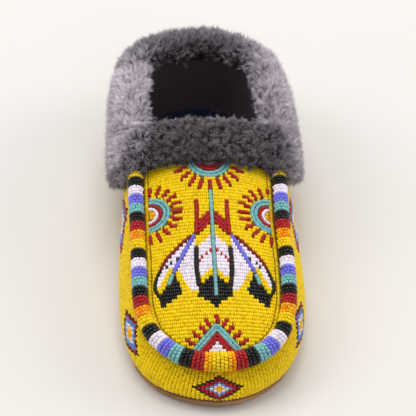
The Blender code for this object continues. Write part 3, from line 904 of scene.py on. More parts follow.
def make_piece(name, points, faces, materials, node, face_material=None):
    """One piece of the shoe from points in millimetres and lists of faces of equal length.

    It rides on the shoe's only body, takes the materials it is given, and stands for
    the CAD node.
    """
    mesh = bpy.data.meshes.new(name)
    faces = [np.asarray(group, np.int32) for group in faces if len(group)]
    corners = np.concatenate([group.ravel() for group in faces])
    sizes = np.concatenate([np.full(len(group), group.shape[1]) for group in faces])
    starts = (np.cumsum(sizes) - sizes).astype(np.int32)
    mesh.vertices.add(len(points))
    mesh.vertices.foreach_set("co", (np.asarray(points) * MM).astype(np.float32).ravel())
    mesh.loops.add(len(corners))
    mesh.loops.foreach_set("vertex_index", corners)
    mesh.polygons.add(len(sizes))
    mesh.polygons.foreach_set("loop_start", starts)
    if face_material is not None:
        mesh.polygons.foreach_set("material_index", np.asarray(face_material, np.int32))
    mesh.polygons.foreach_set("use_smooth", np.ones(len(sizes), bool))
    mesh.update(calc_edges=True)
    for one in materials:
        mesh.materials.append(one)
    piece = bpy.data.objects.new(name, mesh)
    bpy.context.scene.collection.objects.link(piece)
    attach(piece, "root")
    if node:
        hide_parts(node)
    return piece


def add_map(piece, name, places):
    piece.data.uv_layers.new(name=name).data.foreach_set("uv", np.asarray(places, np.float32).ravel())


LONG_BEAD = ((-0.5, 0.74), (-0.31, 0.98), (0.31, 0.98), (0.5, 0.74))
SHORT_BEAD = ((-0.5, 0.73), (0.0, 1.0), (0.5, 0.73))
CELL_MARGIN = 0.06  # round a bead's cell of the map
TILT = 0.05  # of a bead out of line, as a slope
SIZE_SPREAD, SIZES = 0.05, (0.86, 1.1)
JITTER = 0.11  # of a bead's place


def bead_shape(segments, rings):
    """(points, ends, sides, map places of their corners) of a bead along X.

    Its length and its radius are 1.
    """
    turn = np.arange(segments) * 2 * np.pi / segments
    points = [(x, r * math.cos(a), r * math.sin(a)) for x, r in rings for a in turn]
    last = len(rings) - 1

    def place(i, j):
        shares = j / segments, (i + 1) / (last + 2)
        return [CELL_MARGIN + (1 - 2 * CELL_MARGIN) * share for share in shares]

    loop = list(range(segments))
    ends = [loop[::-1], [last * segments + j for j in loop]]
    end_places = [place(0, j) for j in loop[::-1]] + [place(last, j) for j in loop]
    sides, side_places = [], []
    for j in range(segments):
        k = (j + 1) % segments
        for i in range(last):
            a, b = i * segments, (i + 1) * segments
            sides.append((a + j, a + k, b + k, b + j))
            side_places += [place(i, j), place(i, j + 1), place(i + 1, j + 1), place(i + 1, j)]
    return np.array(points), np.array(ends), np.array(sides), np.array(end_places + side_places)


def sew(name, beads, segments, node, seed, rings=LONG_BEAD):
    """A piece made of beads, each a little out of place, size and turn."""
    random = np.random.default_rng(seed)
    count = len(beads.place)
    shape, ends, sides, places = bead_shape(segments, rings)
    across = np.cross(beads.out, beads.along)
    tilt = random.normal(0, TILT, (count, 2))
    along = unit(beads.along + tilt[:, :1] * across + tilt[:, 1:] * beads.out)
    across = unit(np.cross(beads.out, along))
    out = np.cross(along, across)
    size = random.normal(1, SIZE_SPREAD, (count, 1)).clip(*SIZES)
    middle = beads.place + random.uniform(-JITTER, JITTER, (count, 3))
    points = middle[:, None] + size[:, :, None] * (
        shape[None, :, :1] * (beads.length[:, None, None] * along[:, None])
        + shape[None, :, 1:2] * (beads.radius[:, None, None] * across[:, None])
        + shape[None, :, 2:] * (beads.radius[:, None, None] * out[:, None])
    )
    offsets = (np.arange(count) * len(shape))[:, None, None]
    used = sorted(set(beads.colour.tolist()))
    numbers = np.searchsorted(used, beads.colour)
    piece = make_piece(
        name,
        points.reshape(-1, 3),
        [(ends[None] + offsets).reshape(-1, segments), (sides[None] + offsets).reshape(-1, 4)],
        [GLASS[COLOURS[number]] for number in used],
        node,
        np.concatenate([np.repeat(numbers, len(ends)), np.repeat(numbers, len(sides))]),
    )
    cells = math.ceil(math.sqrt(count))
    corner = np.stack([np.arange(count) % cells, np.arange(count) // cells], -1)[:, None]
    split = segments * len(ends)
    spread = (corner + places[None]) / cells
    parts = spread[:, :split], spread[:, split:]
    add_map(piece, BAKE_MAP, np.concatenate([part.reshape(-1, 2) for part in parts]))


GLASS = {name: bead_glass(name, colour) for name, colour in PALETTE.items()}

contours = contour_beads()
sew("apron_beads", joined(contours, row_beads(contours)), 8, "upper", 1, SHORT_BEAD)
edge_beads = line_beads(EDGE_LINE, BEAD_PITCH)
edge_beads = kept(edge_beads, distance_to(edge_beads.place, contours.place) > CONTOUR_CLEAR)
sew("apron_edge_beads", edge_beads, 8, "upper", 2, SHORT_BEAD)
stitches = line_beads(STITCH_LINE, STITCH_PITCH, "thread", length=STITCH, radius=THREAD_RADIUS)
sew("apron_stitches", stitches, 6, "upper", 3)
sew("lateral_wall_beads", wall_beads(1), 7, "upper", 4, SHORT_BEAD)
sew("medial_wall_beads", wall_beads(-1), 7, "upper", 5, SHORT_BEAD)
sew("roll_beads", roll_beads(), 9, "roll", 6)


# -------- the upper under its beads


def looped(line):
    """The same with its first row once more at the end."""
    return np.concatenate([line, line[:1]])


def quads_of(numbers):
    """Faces of a grid of point numbers."""
    corners = numbers[:-1, :-1], numbers[1:, :-1], numbers[1:, 1:], numbers[:-1, 1:]
    return np.stack(corners, -1).reshape(-1, 4)


def stations(front_steps, back_steps):
    """Rows once round the shoe, evenly spaced, with one at the toe, throats and heel."""
    along = np.concatenate([[0], np.cumsum(SPANS[:HEEL_ROW])])
    front = np.linspace(0, along[THROAT_ROW], front_steps, endpoint=False)
    back = np.linspace(along[THROAT_ROW], along[HEEL_ROW], back_steps, endpoint=False)
    rows = np.interp(np.concatenate([front, back]), along, np.arange(HEEL_ROW + 1))
    return np.concatenate([rows, [HEEL_ROW], TURN - rows[:0:-1]])


UPPER_FRONT, UPPER_BACK, UPPER_WALL, UPPER_APRON = 56, 40, 12, 20  # steps of its grids


def upper_layer(depth):
    """Points of the skin at a depth: the wall's, then those between the apron's seams."""
    rows = stations(UPPER_FRONT, UPPER_BACK)
    walls = np.meshgrid(rows, np.linspace(0, 1, UPPER_WALL + 1), indexing="ij")
    across = np.linspace(0, 1, UPPER_APRON + 1)[1:-1]
    apron = skin_at(*np.meshgrid(rows[1 : UPPER_FRONT + 1], across, indexing="ij"))
    return np.concatenate([(skin(*at) - depth * normal(*at)).reshape(-1, 3) for at in (walls, apron)])


def make_upper_body():
    """Backing cloth and lining: the hollow upper without its beads, as one closed body."""
    outer, inner = upper_layer(GROUND_DEPTH), upper_layer(WALL_THICKNESS)
    shift = len(outer)
    count, across = 2 * (UPPER_FRONT + UPPER_BACK), UPPER_WALL + 1
    walls = np.arange(count * across).reshape(count, across)
    feet, tops = walls[:, 0], walls[:, -1]
    between_seams = np.arange(walls.size, shift).reshape(UPPER_FRONT, -1)
    apron = np.column_stack([tops[1 : UPPER_FRONT + 1], between_seams, tops[::-1][:UPPER_FRONT]])
    toe = np.stack([np.full(UPPER_APRON, tops[0]), apron[0, :-1], apron[0, 1:]], -1)
    behind = tops[UPPER_FRONT : count - UPPER_FRONT + 1]

    def rim(line):
        return quads_of(np.stack([line, line + shift]))

    outside = np.concatenate([quads_of(looped(walls)), quads_of(apron)])
    quads = [outside, outside[:, ::-1] + shift, rim(looped(feet)), rim(behind)[:, ::-1], rim(apron[-1])]
    faces = [np.concatenate(quads), np.concatenate([toe, toe[:, ::-1] + shift])]
    lined = np.concatenate([np.arange(len(faces[0])) >= len(outside), np.repeat([0, 1], len(toe))])
    backing = cloth("bead_backing", (0.20, 0.07, 0.006), (0.36, 0.17, 0.012), 1800.0)
    lining = cloth("black_lining", (0.055, 0.042, 0.052), (0.125, 0.098, 0.120), 1400.0, bump=0.5)
    points = np.concatenate([outer, inner])
    make_piece("upper_body", points, faces, [backing, lining], "upper", lined)


make_upper_body()


def tube(middles, sides, ups, radii, segments, closed=False):
    """(points, faces) of a tube with round sections, closed on itself or by flat ends."""
    turn = np.linspace(0, 2 * np.pi, segments, endpoint=False)
    ring = np.cos(turn)[:, None] * sides[:, None] + np.sin(turn)[:, None] * ups[:, None]
    points = middles[:, None] + np.asarray(radii)[:, None, None] * ring
    numbers = looped(np.arange(points[..., 0].size).reshape(-1, segments).T).T
    quads = quads_of(looped(numbers) if closed else numbers)[:, [0, 3, 2, 1]]
    points = points.reshape(-1, 3)
    if closed:
        return points, [quads]
    start, end = len(points), len(points) + 1
    caps = [(start, after, here) for here, after in zip(numbers[0], numbers[0, 1:])]
    caps += [(end, here, after) for here, after in zip(numbers[-1], numbers[-1, 1:])]
    return np.concatenate([points, middles[[0, -1]]]), [quads, caps]


CORE_DEPTH = 1.5  # under the crests of the roll's beads
CORE_RINGS = 90  # from the toe to either end
CORE_SEGMENTS = 20


def make_roll_core():
    end = np.interp(ROLL_END + 1, lengths_along(around(FRONT_ROWS)[0][:, TOP]), FRONT_ROWS)
    ends = np.linspace(0, end, CORE_RINGS)
    rows = np.concatenate([TURN - ends[:0:-1], ends])
    middle, side, up, radius = roll_frame(rows)
    points, faces = tube(middle, side, up, radius - CORE_DEPTH, CORE_SEGMENTS)
    stuffing = cloth("roll_core", (0.02, 0.012, 0.006), (0.07, 0.040, 0.012), 1500.0)
    make_piece("roll_core", points, faces, [stuffing], "roll")


make_roll_core()


# -------- the fur cuff

# The cuff, from the heel to the middle of the throat, as in the CAD source. row counts along
# SECTIONS, and reach is 0 at the wall's foot, 1 at the top line and 2 at the apron's middle.
# The fur stands out from the skin by out, and beyond the edge of the collar by over.
Fold = namedtuple("Fold", "rim_row rim_reach hem_row hem_reach out over")
FOLDS = (
    Fold(13.0, 1.00, 13.0, 0.42, 17.0, 11.5),
    Fold(12.0, 1.00, 12.0, 0.42, 15.5, 11.0),
    Fold(11.0, 1.00, 11.0, 0.42, 14.5, 11.0),
    Fold(10.0, 1.00, 10.0, 0.41, 14.5, 11.5),
    Fold(9.40, 1.00, 9.30, 0.41, 14.5, 11.5),
    Fold(8.80, 1.00, 8.65, 0.42, 14.0, 11.0),
    Fold(8.40, 1.00, 8.05, 0.48, 13.0, 10.5),
    Fold(8.12, 1.00, 7.60, 0.64, 12.0, 9.5),
    Fold(8.00, 1.06, 7.34, 0.92, 11.0, 8.5),
    Fold(8.00, 1.25, 7.28, 1.18, 10.5, 8.0),
    Fold(8.00, 1.50, 7.26, 1.46, 10.0, 8.0),
    Fold(8.00, 1.75, 7.26, 1.74, 10.0, 8.0),
    Fold(8.00, 2.00, 7.26, 2.00, 10.0, 8.0),
)
FOLD_STEPS = 8  # from fold to fold
HEM_CORNER = (7.75, 0.45)  # row and width of the hem's lateral corner,
HEM_CORNER_RISE = 0.05  # which is a little higher than the medial, as a share of the wall
CUFF_GAP = 0.75
LIP_IN = 3.0  # of the fur inside the collar
LIP_DOWN = 3.5
LIP_BACK = 0.4  # of HAIR_PAST, by which the lip's hair stands less far in
LIP_POINTS = ((0.9, 0.62), (1.0, 0.15))  # shares of the lip's reach and of the rim's height
LIP_END = 0.7  # of the lip's reach, and of LIP_DOWN behind the fur
HEM_DROP = 3.0  # of the fur below its hem on the skin
HEM_POINTS = ((1.0, 0.18), (1.0, 0.45), (0.8, 0.70))  # shares of the hem's hang and of the height
ROLL_HANG = 6.0  # how much further the fur hangs where the roll lifts it,
ROLL_FULLER = 0.4  # how much deeper it is there,
OVER_ROLL = (1.02, 0.16)  # and the reach and width of that place
PAST_APRON = ((0.9, 1.3), (0.1, 1))  # of HAIR_PAST, by reach from the apron's middle
OVER_APRON = ((0.3, 0.9, 1.3), (1, 0.4, 0))  # by the same: the share of what changes there
FRONT_LOWER = 0.5  # how much lower the rim stands over the apron
RIM_THINNER = 0.3  # and how much thinner the fur is there
NEAR_RIM = 0.35  # of the way from rim to hem
FUR_SHARES = np.linspace(0.98, 0.04, 15)  # from the hem to the rim
FUR_HEIGHT = ((0.04, 0.27, 0.55, 0.82, 1), (1, 1, 0.95, 0.86, 0.78))  # by the same share
FUR_ANGLES = np.radians(np.linspace(12, 100, 9))  # over the rim
BACK_SHARES = np.linspace(0.06, 1, 12)  # behind the fur, from the rim to the hem
RISE_SHARE, DROP_SHARE = 0.15, 0.9  # where the skin's run up to the rim and down to the hem is read

HAIR_PAST = 2.6  # how far the hair's tips pass the CAD solid's face
PELT_FULLNESS = 0.64  # of the fur's height that is dense undercoat
TUFTS = 9800
TUFT_HEIGHTS = (0.86, 1.04)  # of the fur's
TUFT_RADIUS = 1.05
TUFT_ROOTS = 1.25  # how much wider it is at its roots,
TUFT_DEPTH = 1.0  # which stand this far inside the undercoat
TUFT_GATHER = 0.45  # a tuft's tips stand this much closer
TUFT_BENDS = 0.3
HAIRS_PER_TUFT = 12
HAIR_LENGTHS = (0.72, 1.0)  # of its tuft's
HAIR_WIDTH = 0.33
HAIR_WIDTHS = (0.75, 1.2)  # of HAIR_WIDTH
HAIR_NARROWS = 0.42  # of its width, to each side of its bend
HAIR_BEND = 0.55  # where along it a hair has its one bend
TIP_STRAY = 0.7
BEND_STRAY = 0.5
BEND_SHARE, BEND_LIFT, BEND_BACK = 0.45, 2.2, 0.9  # along a hair, out, and against the sweep
SWEEP = 3.8
SWEEP_LOCKS, LOCK_LENGTH = 0.55, 9.0  # sweep that neighbouring tufts share
SWEEP_ALONE, SWEEP_SPREAD = 0.85, 0.6
SAG = 1.4
DRIFT_WAVES = 9
DRIFT_COUNTS = (0.6, 1.6)  # waves to a wavelength
FULL_PHASE = 6.3  # about a full turn

# Shade of a hair, from 0 to 1, by its place, which is mostly painted light and shade. Rows count along
# SECTIONS as they do for the folds, and columns along the profile: from the hem up, over the rim and into
# the shoe.
FUR_STOPS = (  # colours from root to tip
    (0.0, (0.024, 0.017, 0.023)),
    (0.3, (0.145, 0.110, 0.138)),
    (0.65, (0.46, 0.422, 0.463)),
    (1.0, (0.71, 0.665, 0.71)),
)
PALE_ROOT = 0.9  # how much of a light hair's dark root is left out
FUR_SHADE = 0.47  # to which the rest is added
TUFT_SHADES, HAIR_SHADES = 0.08, 0.06  # spread from tuft to tuft and from hair to hair
PAINTED_FLANK_LIGHT = 0.38  # times what the tables give: painted light on the flanks, painted shade before and behind
# painted light and shade by row, on the lateral and on the medial side
LATERAL_PAINTED_LIGHT = ((7.26, 7.28, 7.34, 7.65, 8.5, 11.0, 12.7), (-1.0, -0.7, 0.15, 0.7, 0.78, 0.75, -0.5))
MEDIAL_PAINTED_LIGHT = (
    (7.26, 7.275, 7.29, 7.34, 7.6, 8.1, 9.9, 10.9, 12.7),
    (-1.0, -0.45, 0.5, 0.9, 1.0, 1.08, 1.08, 0.0, -0.5),
)
APRON_ROWS = (7.3, 7.6)  # the fur that lies over the apron ends between these
PAINTED_RIM_LIGHT = 0.42  # painted light along the rim over the apron
RIM_COLUMN = (20.5, 1.8)  # with its width
HEM_PAINTED_SHADE = 0.25  # painted shade toward the hem, beside the walls
HEM_COLUMNS, HEM_ROWS = (12, 20), (7.34, 8.1)
EDGE_PAINTED_SHADE = (0.5, 0.15)  # painted shadow at its very edge, on the medial and the lateral side
EDGE_COLUMNS = (2, 8)
LIP_PAINTED_SHADE = 0.12  # painted shade inside the collar
LIP_COLUMNS = (24, 27)
PATCHINESS, PATCH_LENGTH = 0.05, 20.0


def bell(x, middle, width):
    return np.exp(-(((x - middle) / width) ** 2))


def fold_stations():
    """Folds once round the cuff: heel, lateral side, throat, then the medial side."""
    table = np.array(FOLDS, float)
    padded = np.vstack([table[1], table, table[-2]])
    padded[0, [0, 2]] = TURN - table[1][[0, 2]]
    padded[-1, [1, 3]] = 4 - table[-2][[1, 3]]
    f = np.linspace(0, 1, FOLD_STEPS, endpoint=False)[:, None]
    half = [through(*padded[i : i + 4], f) for i in range(len(table) - 1)]
    lateral = np.vstack(half + [table[-1:]])
    medial = lateral[-2:0:-1].copy()
    medial[:, [0, 2]] = TURN - medial[:, [0, 2]]
    lateral[:, 3] += HEM_CORNER_RISE * bell(lateral[:, 2], *HEM_CORNER) * (lateral[:, 3] < 1)
    return Fold(*np.vstack([lateral, medial]).T)


def cuff_frame(folds):
    """(places of the skin from rim to hem, rim, and its directions out and up)"""

    def on_skin(share):
        row = folds.rim_row + (folds.hem_row - folds.rim_row) * share
        reach = folds.rim_reach + (folds.hem_reach - folds.rim_reach) * share
        return skin(row, reach), normal(row, reach)

    rim, out = on_skin(0.0)
    return on_skin, rim, out, unit(rim - on_skin(RISE_SHARE)[0])


def fur_profile(folds, fullness, past):
    """Points over the fur for each fold, from its hem round the collar into the shoe."""
    on_skin, rim, out, rise = cuff_frame(folds)
    hem, hem_out = on_skin(1.0)
    drop = unit(hem - on_skin(DROP_SHARE)[0])
    from_middle = np.abs(folds.hem_reach - 2)[:, None]
    over_roll = bell(folds.hem_reach[:, None], *OVER_ROLL)
    past = past * np.interp(from_middle, *PAST_APRON)
    front = np.interp(from_middle, *OVER_APRON)
    height = fullness * folds.out[:, None] * (1 + ROLL_FULLER * over_roll) + past
    over = fullness * folds.over[:, None] * (1 - FRONT_LOWER * front) + past
    hang = (HEM_DROP + ROLL_HANG * over_roll) * fullness + past
    rim_height = height * (1 - RIM_THINNER * front)
    line = [hem + down * hang * drop + up * height * hem_out for down, up in HEM_POINTS]
    for share in FUR_SHARES:
        point, up = on_skin(share)
        near_rim = max(1 - share / NEAR_RIM, 0)
        full = np.interp(share, *FUR_HEIGHT)
        line.append(point + full * (height + near_rim * (rim_height - height)) * up)
    for angle in FUR_ANGLES:
        line.append(rim + math.cos(angle) * rim_height * out + math.sin(angle) * over * rise)
    lining = rim - WALL_THICKNESS * out
    lip = LIP_IN * fullness - LIP_BACK * past
    for reach, up in LIP_POINTS:
        line.append(lining - reach * lip * out + up * over * rise)
    line.append(lining - LIP_END * lip * out - LIP_DOWN * rise)
    return np.stack(line, axis=1)


def cuff_back(folds):
    """Points under the fur, from inside the collar round its edge to the hem."""
    on_skin, rim, out, rise = cuff_frame(folds)
    inside_rim = rim - (WALL_THICKNESS + CUFF_GAP) * out
    line = [inside_rim - LIP_END * LIP_DOWN * rise, inside_rim + CUFF_GAP * rise]
    line.append(rim + CUFF_GAP * (out + rise))
    for share in BACK_SHARES:
        point, up = on_skin(share)
        line.append(point + CUFF_GAP * up)
    return np.stack(line, axis=1)


def on_grid(grid, u, v):
    """Points of a grid that closes on itself along u, at fractional places."""
    rows, columns = grid.shape[:2]
    i, j = np.floor(u).astype(int), np.minimum(np.floor(v).astype(int), columns - 2)
    fu, fv = (u - i)[:, None], (v - j)[:, None]
    i, k = i % rows, (i + 1) % rows
    return (
        grid[i, j] * (1 - fu) * (1 - fv)
        + grid[k, j] * fu * (1 - fv)
        + grid[i, j + 1] * (1 - fu) * fv
        + grid[k, j + 1] * fu * fv
    )


def scattered(grid, count, random):
    """Places on a closed grid, evenly spread over its area."""
    a, b = np.roll(grid, -1, axis=0)[:, :-1] - grid[:, :-1], grid[:, 1:] - grid[:, :-1]
    area = np.linalg.norm(np.cross(a, b), axis=-1)
    total = np.cumsum(area.ravel())
    picks = (np.arange(count) + random.uniform(0, 1, count)) / count * total[-1]
    cell = np.searchsorted(total, picks)
    i, j = np.unravel_index(cell.clip(0, area.size - 1), area.shape)
    return i + random.uniform(0, 1, count), j + random.uniform(0, 1, count)


def drift(points, wavelength, random):
    """A smooth random vector at each point: a sum of slow waves."""
    found = np.zeros_like(points)
    for _ in range(DRIFT_WAVES):
        direction = unit(random.normal(0, 1, 3)) * 2 * np.pi / wavelength
        direction = direction * random.uniform(*DRIFT_COUNTS)
        waves = np.sin(points @ direction + random.uniform(0, FULL_PHASE))
        found += waves[:, None] * random.normal(0, 1, 3)
    return found / math.sqrt(DRIFT_WAVES)


def hair_mesh(roots, bends, tips, widths, shades):
    """(points, triangles, quads, map places of their corners) of flat tapering hairs."""
    count = len(roots)
    random = np.random.default_rng(23)
    facing = unit(np.cross(tips - roots, random.normal(0, 1, (count, 3))))
    at = HAIR_BEND
    elbow = (1 - at) ** 2 * roots + 2 * (1 - at) * at * bends + at**2 * tips
    wide, narrow = facing * (widths / 2)[:, None], facing * (widths * HAIR_NARROWS)[:, None]
    points = np.stack([roots - wide, roots + wide, elbow - narrow, elbow + narrow, tips], axis=1)
    base = np.arange(count)[:, None] * 5
    quads, triangles = base + [0, 1, 3, 2], base + [2, 3, 4]
    pale = PALE_ROOT * (shades[:, None] - 0.5).clip(0, 0.5)
    share = pale + (1 - pale) * [0.0, at, 1.0]
    tri_map = np.stack([np.repeat(shades, 3), share[:, [1, 1, 2]].ravel()], -1)
    quad_map = np.stack([np.repeat(shades, 4), share[:, [0, 0, 1, 1]].ravel()], -1)
    return points.reshape(-1, 3), triangles, quads, np.concatenate([tri_map, quad_map])


def plant(name, hairs, finish, node):
    points, triangles, quads, places = hair_mesh(*hairs)
    piece = make_piece(name, points, [triangles, quads], [finish], node)
    for layer in (STRAND_MAP, BAKE_MAP):
        add_map(piece, layer, places * (1 - 2 * MAP_MARGIN) + MAP_MARGIN)


def fur_row(folds, u):
    """The hem's row at places round the cuff, counted on the lateral side."""
    rows = np.append(folds.hem_row, folds.hem_row[0])
    return np.interp(u, np.arange(len(rows)), np.minimum(rows, TURN - rows))


def fur_shades(folds, root, u, v, hairs, random):
    """Shade of each hair, by where its tuft is rooted: painted light and shade, and a random tone."""
    row = fur_row(folds, u)
    lateral = root[:, 0] > 0
    # painted light on the flanks, painted shade before and behind
    flank = np.where(lateral, np.interp(row, *LATERAL_PAINTED_LIGHT), np.interp(row, *MEDIAL_PAINTED_LIGHT))
    front = np.interp(row, APRON_ROWS, (1, 0))
    shade = PAINTED_FLANK_LIGHT * flank
    # painted shade toward the hem, beside the walls
    shade -= HEM_PAINTED_SHADE * np.interp(v, HEM_COLUMNS, (1, 0)) * np.interp(row, HEM_ROWS, (0, 1))
    # painted light along the rim over the apron
    shade += PAINTED_RIM_LIGHT * front * bell(v, *RIM_COLUMN)
    # painted shade inside the collar
    shade -= LIP_PAINTED_SHADE * np.interp(v, LIP_COLUMNS, (0, 1)) * (1 - front)
    # painted shadow at the hem's very edge, deeper on the medial side
    shade -= np.where(lateral, EDGE_PAINTED_SHADE[1], EDGE_PAINTED_SHADE[0]) * np.interp(v, EDGE_COLUMNS, (1, 0))
    shade += PATCHINESS * drift(root, PATCH_LENGTH, random)[:, 0]
    shade += FUR_SHADE + TUFT_SHADES * random.normal(0, 1, TUFTS)
    return (shade[hairs] + HAIR_SHADES * random.normal(0, 1, len(hairs))).clip(0, 1)


def make_pelt(low, back):
    """The dense undercoat over its leather, as one closed body."""
    ring = np.concatenate([low, back], axis=1)
    count, width = ring.shape[:2]
    numbers = looped(np.arange(count * width).reshape(count, width))
    seam = quads_of(numbers[:, [-1, 0]])
    faces = [np.concatenate([quads_of(numbers), seam])]
    hairless = np.tile(np.arange(width - 1) >= low.shape[1] - 1, count)
    undercoat = cloth(
        "fur_undercoat", (0.013, 0.009, 0.012), (0.055, 0.042, 0.052), 700.0, bump=1.0, depth=0.001
    )
    leather = cloth("cuff_leather", (0.006, 0.007, 0.012), (0.020, 0.020, 0.028), 900.0, roughness=0.6)
    make_piece(
        "cuff_pelt", ring.reshape(-1, 3), faces, [undercoat, leather], "fur_cuff",
        np.concatenate([hairless, np.ones(len(seam), bool)]),
    )


def make_fur():
    random = np.random.default_rng(17)
    folds = fold_stations()
    low, high = fur_profile(folds, PELT_FULLNESS, 0.0), fur_profile(folds, 1.0, HAIR_PAST)
    u, v = scattered(high, TUFTS, random)
    root, tip = on_grid(low, u, v), on_grid(high, u, v)
    lean = unit(tip - root)
    tip = root + (tip - root) * random.uniform(*TUFT_HEIGHTS, (TUFTS, 1))
    sweep = SWEEP_LOCKS * drift(tip, LOCK_LENGTH, random)
    sweep += SWEEP_ALONE * random.normal(0, SWEEP_SPREAD, (TUFTS, 3))
    sweep -= (sweep * lean).sum(-1, keepdims=True) * lean
    tip = tip + SWEEP * sweep - SAG * (1 - np.abs(lean[:, 2:])) * [0, 0, 1]
    across = unit(np.cross(lean, random.normal(0, 1, (TUFTS, 3))))
    aside = np.cross(lean, across)
    hairs = np.repeat(np.arange(TUFTS), HAIRS_PER_TUFT)
    angle = random.uniform(0, 2 * np.pi, (len(hairs), 1))
    spread = TUFT_RADIUS * np.sqrt(random.uniform(0, 1, (len(hairs), 1)))
    offset = spread * (np.cos(angle) * across[hairs] + np.sin(angle) * aside[hairs])
    roots = root[hairs] + offset * TUFT_ROOTS - TUFT_DEPTH * lean[hairs]
    reach = random.uniform(*HAIR_LENGTHS, (len(hairs), 1))
    tips = roots + (tip[hairs] + offset * (1 - TUFT_GATHER) - roots) * reach
    tips = tips + random.normal(0, TIP_STRAY, tips.shape)
    bends = roots + (tips - roots) * BEND_SHARE + lean[hairs] * BEND_LIFT
    bends = bends - BEND_BACK * sweep[hairs] + offset * TUFT_BENDS
    bends = bends + random.normal(0, BEND_STRAY, tips.shape)
    shades = fur_shades(folds, root, u, v, hairs, random)
    widths = HAIR_WIDTH * random.uniform(*HAIR_WIDTHS, len(hairs))
    finish = fur_material("grey_fur", FUR_STOPS, shade_spread=0.65)
    lateral = root[hairs, 0] > 0
    for name, where in (("fur_lateral", lateral), ("fur_medial", ~lateral)):
        coat = [column[where] for column in (roots, bends, tips, widths, shades)]
        plant(name, coat, finish, "fur_cuff")
    make_pelt(low, cuff_back(folds))


make_fur()


# -------- insole, sole and seam cord

INSOLE_THICKNESS = 5.0
INSOLE_CLEARANCE = 0.5
INSOLE_FRONT, INSOLE_BACK, INSOLE_ACROSS = 44, 34, 18  # steps of its grid
INSOLE_SIDE_DROP = 1.6  # from its top to the crest of its rounded side
INSOLE_TOP_DROP = 0.5  # under the pile
INSOLE_TOP_INSET = 1.4
INSOLE_WAVES, WAVE_LENGTH = 0.35, 26.0
PILE_HAIRS = 6000
PILE_HEIGHT = 2.4
PILE_HEIGHTS = (0.6, 1.0)
PILE_BEND = 0.6
PILE_WIDTH = 0.5
PILE_LOCKS, PILE_LOCK_LENGTH = 0.5, 14.0  # lean that neighbouring hairs share
PILE_LEAN = 0.35
PILE_STOPS = ((0.0, (0.016, 0.020, 0.045)), (1.0, (0.11, 0.14, 0.30)))
CORD_RADIUS = 0.85
CORD_SWELL = (0.93, 0.10)
CORD_TWIST = 3.2  # length of one turn of its ply
CORD_OUT, CORD_UP = 0.35, 0.6  # of its middle from the wall's foot
CORD_SAMPLES, CORD_RINGS, CORD_SEGMENTS = 1600, 1400, 8


def insole_ring(rows, inset, height):
    """Points inside the wall's foot, at a height over the outsole."""
    level = unit(normal(rows, 0.0) * [1, 1, 0])
    ring = wall(rows, 0.0) - (WALL_THICKNESS + INSOLE_CLEARANCE + inset) * level
    ring[:, 2] = tread_z(ring[:, 1]) + SOLE_THICKNESS + GAP + height
    return ring


def leaf_faces(count, steps):
    """Faces between the two sides of a ring of points, with steps from side to side.

    Points are the ring's own, then the inner ones of each pair from the toe to the heel.
    """
    half = count // 2
    inner = count + np.arange((half - 1) * (steps - 1)).reshape(half - 1, -1)
    rows = np.column_stack([np.arange(1, half), inner, np.arange(count - 1, half, -1)])
    toe = np.stack([np.zeros(steps, int), rows[0, :-1], rows[0, 1:]], -1)
    heel = np.stack([np.full(steps, half), rows[-1, 1:], rows[-1, :-1]], -1)
    return quads_of(rows), np.concatenate([toe, heel])


def make_pile(grid, random):
    """Short hair on a grid of the insole's top."""
    rows, columns = grid.shape[:2]
    row = random.integers(0, rows - 1, PILE_HAIRS)
    cell = random.integers(0, columns - 1, PILE_HAIRS)
    f, g = random.uniform(0, 1, (2, PILE_HAIRS))
    roots = on_grid(grid, row + f, cell + g)
    lean = PILE_LOCKS * drift(roots, PILE_LOCK_LENGTH, random) + random.normal(0, PILE_LEAN, roots.shape)
    height = PILE_HEIGHT * random.uniform(*PILE_HEIGHTS, (PILE_HAIRS, 1))
    tips = roots + (lean * [1, 1, 0] + [0, 0, 1]) * height
    bends = roots + [0, 0, PILE_BEND] * height
    shades = random.uniform(0, 1, PILE_HAIRS)
    finish = fur_material("navy_pile", PILE_STOPS, shade_spread=0.3)
    hairs = roots, bends, tips, np.full(PILE_HAIRS, PILE_WIDTH), shades
    plant("insole_pile", hairs, finish, "insole")


def make_insole():
    rows, steps = stations(INSOLE_FRONT, INSOLE_BACK), INSOLE_ACROSS
    count = len(rows)
    half = count // 2
    random = np.random.default_rng(31)
    share = np.linspace(0, 1, steps + 1)[1:-1, None]

    def layer(inset, height):
        ring = insole_ring(rows, inset, height)
        near, far = ring[1:half], ring[:half:-1]
        return ring, (near[:, None] * (1 - share) + far[:, None] * share).reshape(-1, 3)

    low, low_inner = layer(0, 0)
    side = layer(0, INSOLE_THICKNESS - INSOLE_SIDE_DROP)[0]
    top, top_inner = layer(INSOLE_TOP_INSET, INSOLE_THICKNESS - INSOLE_TOP_DROP)
    top_inner = top_inner + drift(top_inner, WAVE_LENGTH, random) * [0, 0, INSOLE_WAVES]
    points = np.concatenate([top, top_inner, side, low, low_inner])
    side_start = len(top) + len(top_inner)
    low_start = side_start + count
    ring = looped(np.arange(count))

    def band(a, b):
        return quads_of(np.stack([a + ring, b + ring], axis=1))

    quads, ends = leaf_faces(count, steps)
    bands = band(side_start, 0), band(low_start, side_start)
    faces = [
        np.concatenate([quads, quads[:, ::-1] + low_start, *bands]),
        np.concatenate([ends, ends[:, ::-1] + low_start]),
    ]
    fleece = cloth(
        "navy_fleece", (0.004, 0.006, 0.016), (0.016, 0.022, 0.055), 900.0, bump=1.0, depth=0.0012
    )
    make_piece("insole_fleece", points, faces, [fleece], "insole")
    inner_rows = top_inner.reshape(half - 1, -1, 3)
    make_pile(np.concatenate([top[1:half, None], inner_rows], axis=1), random)


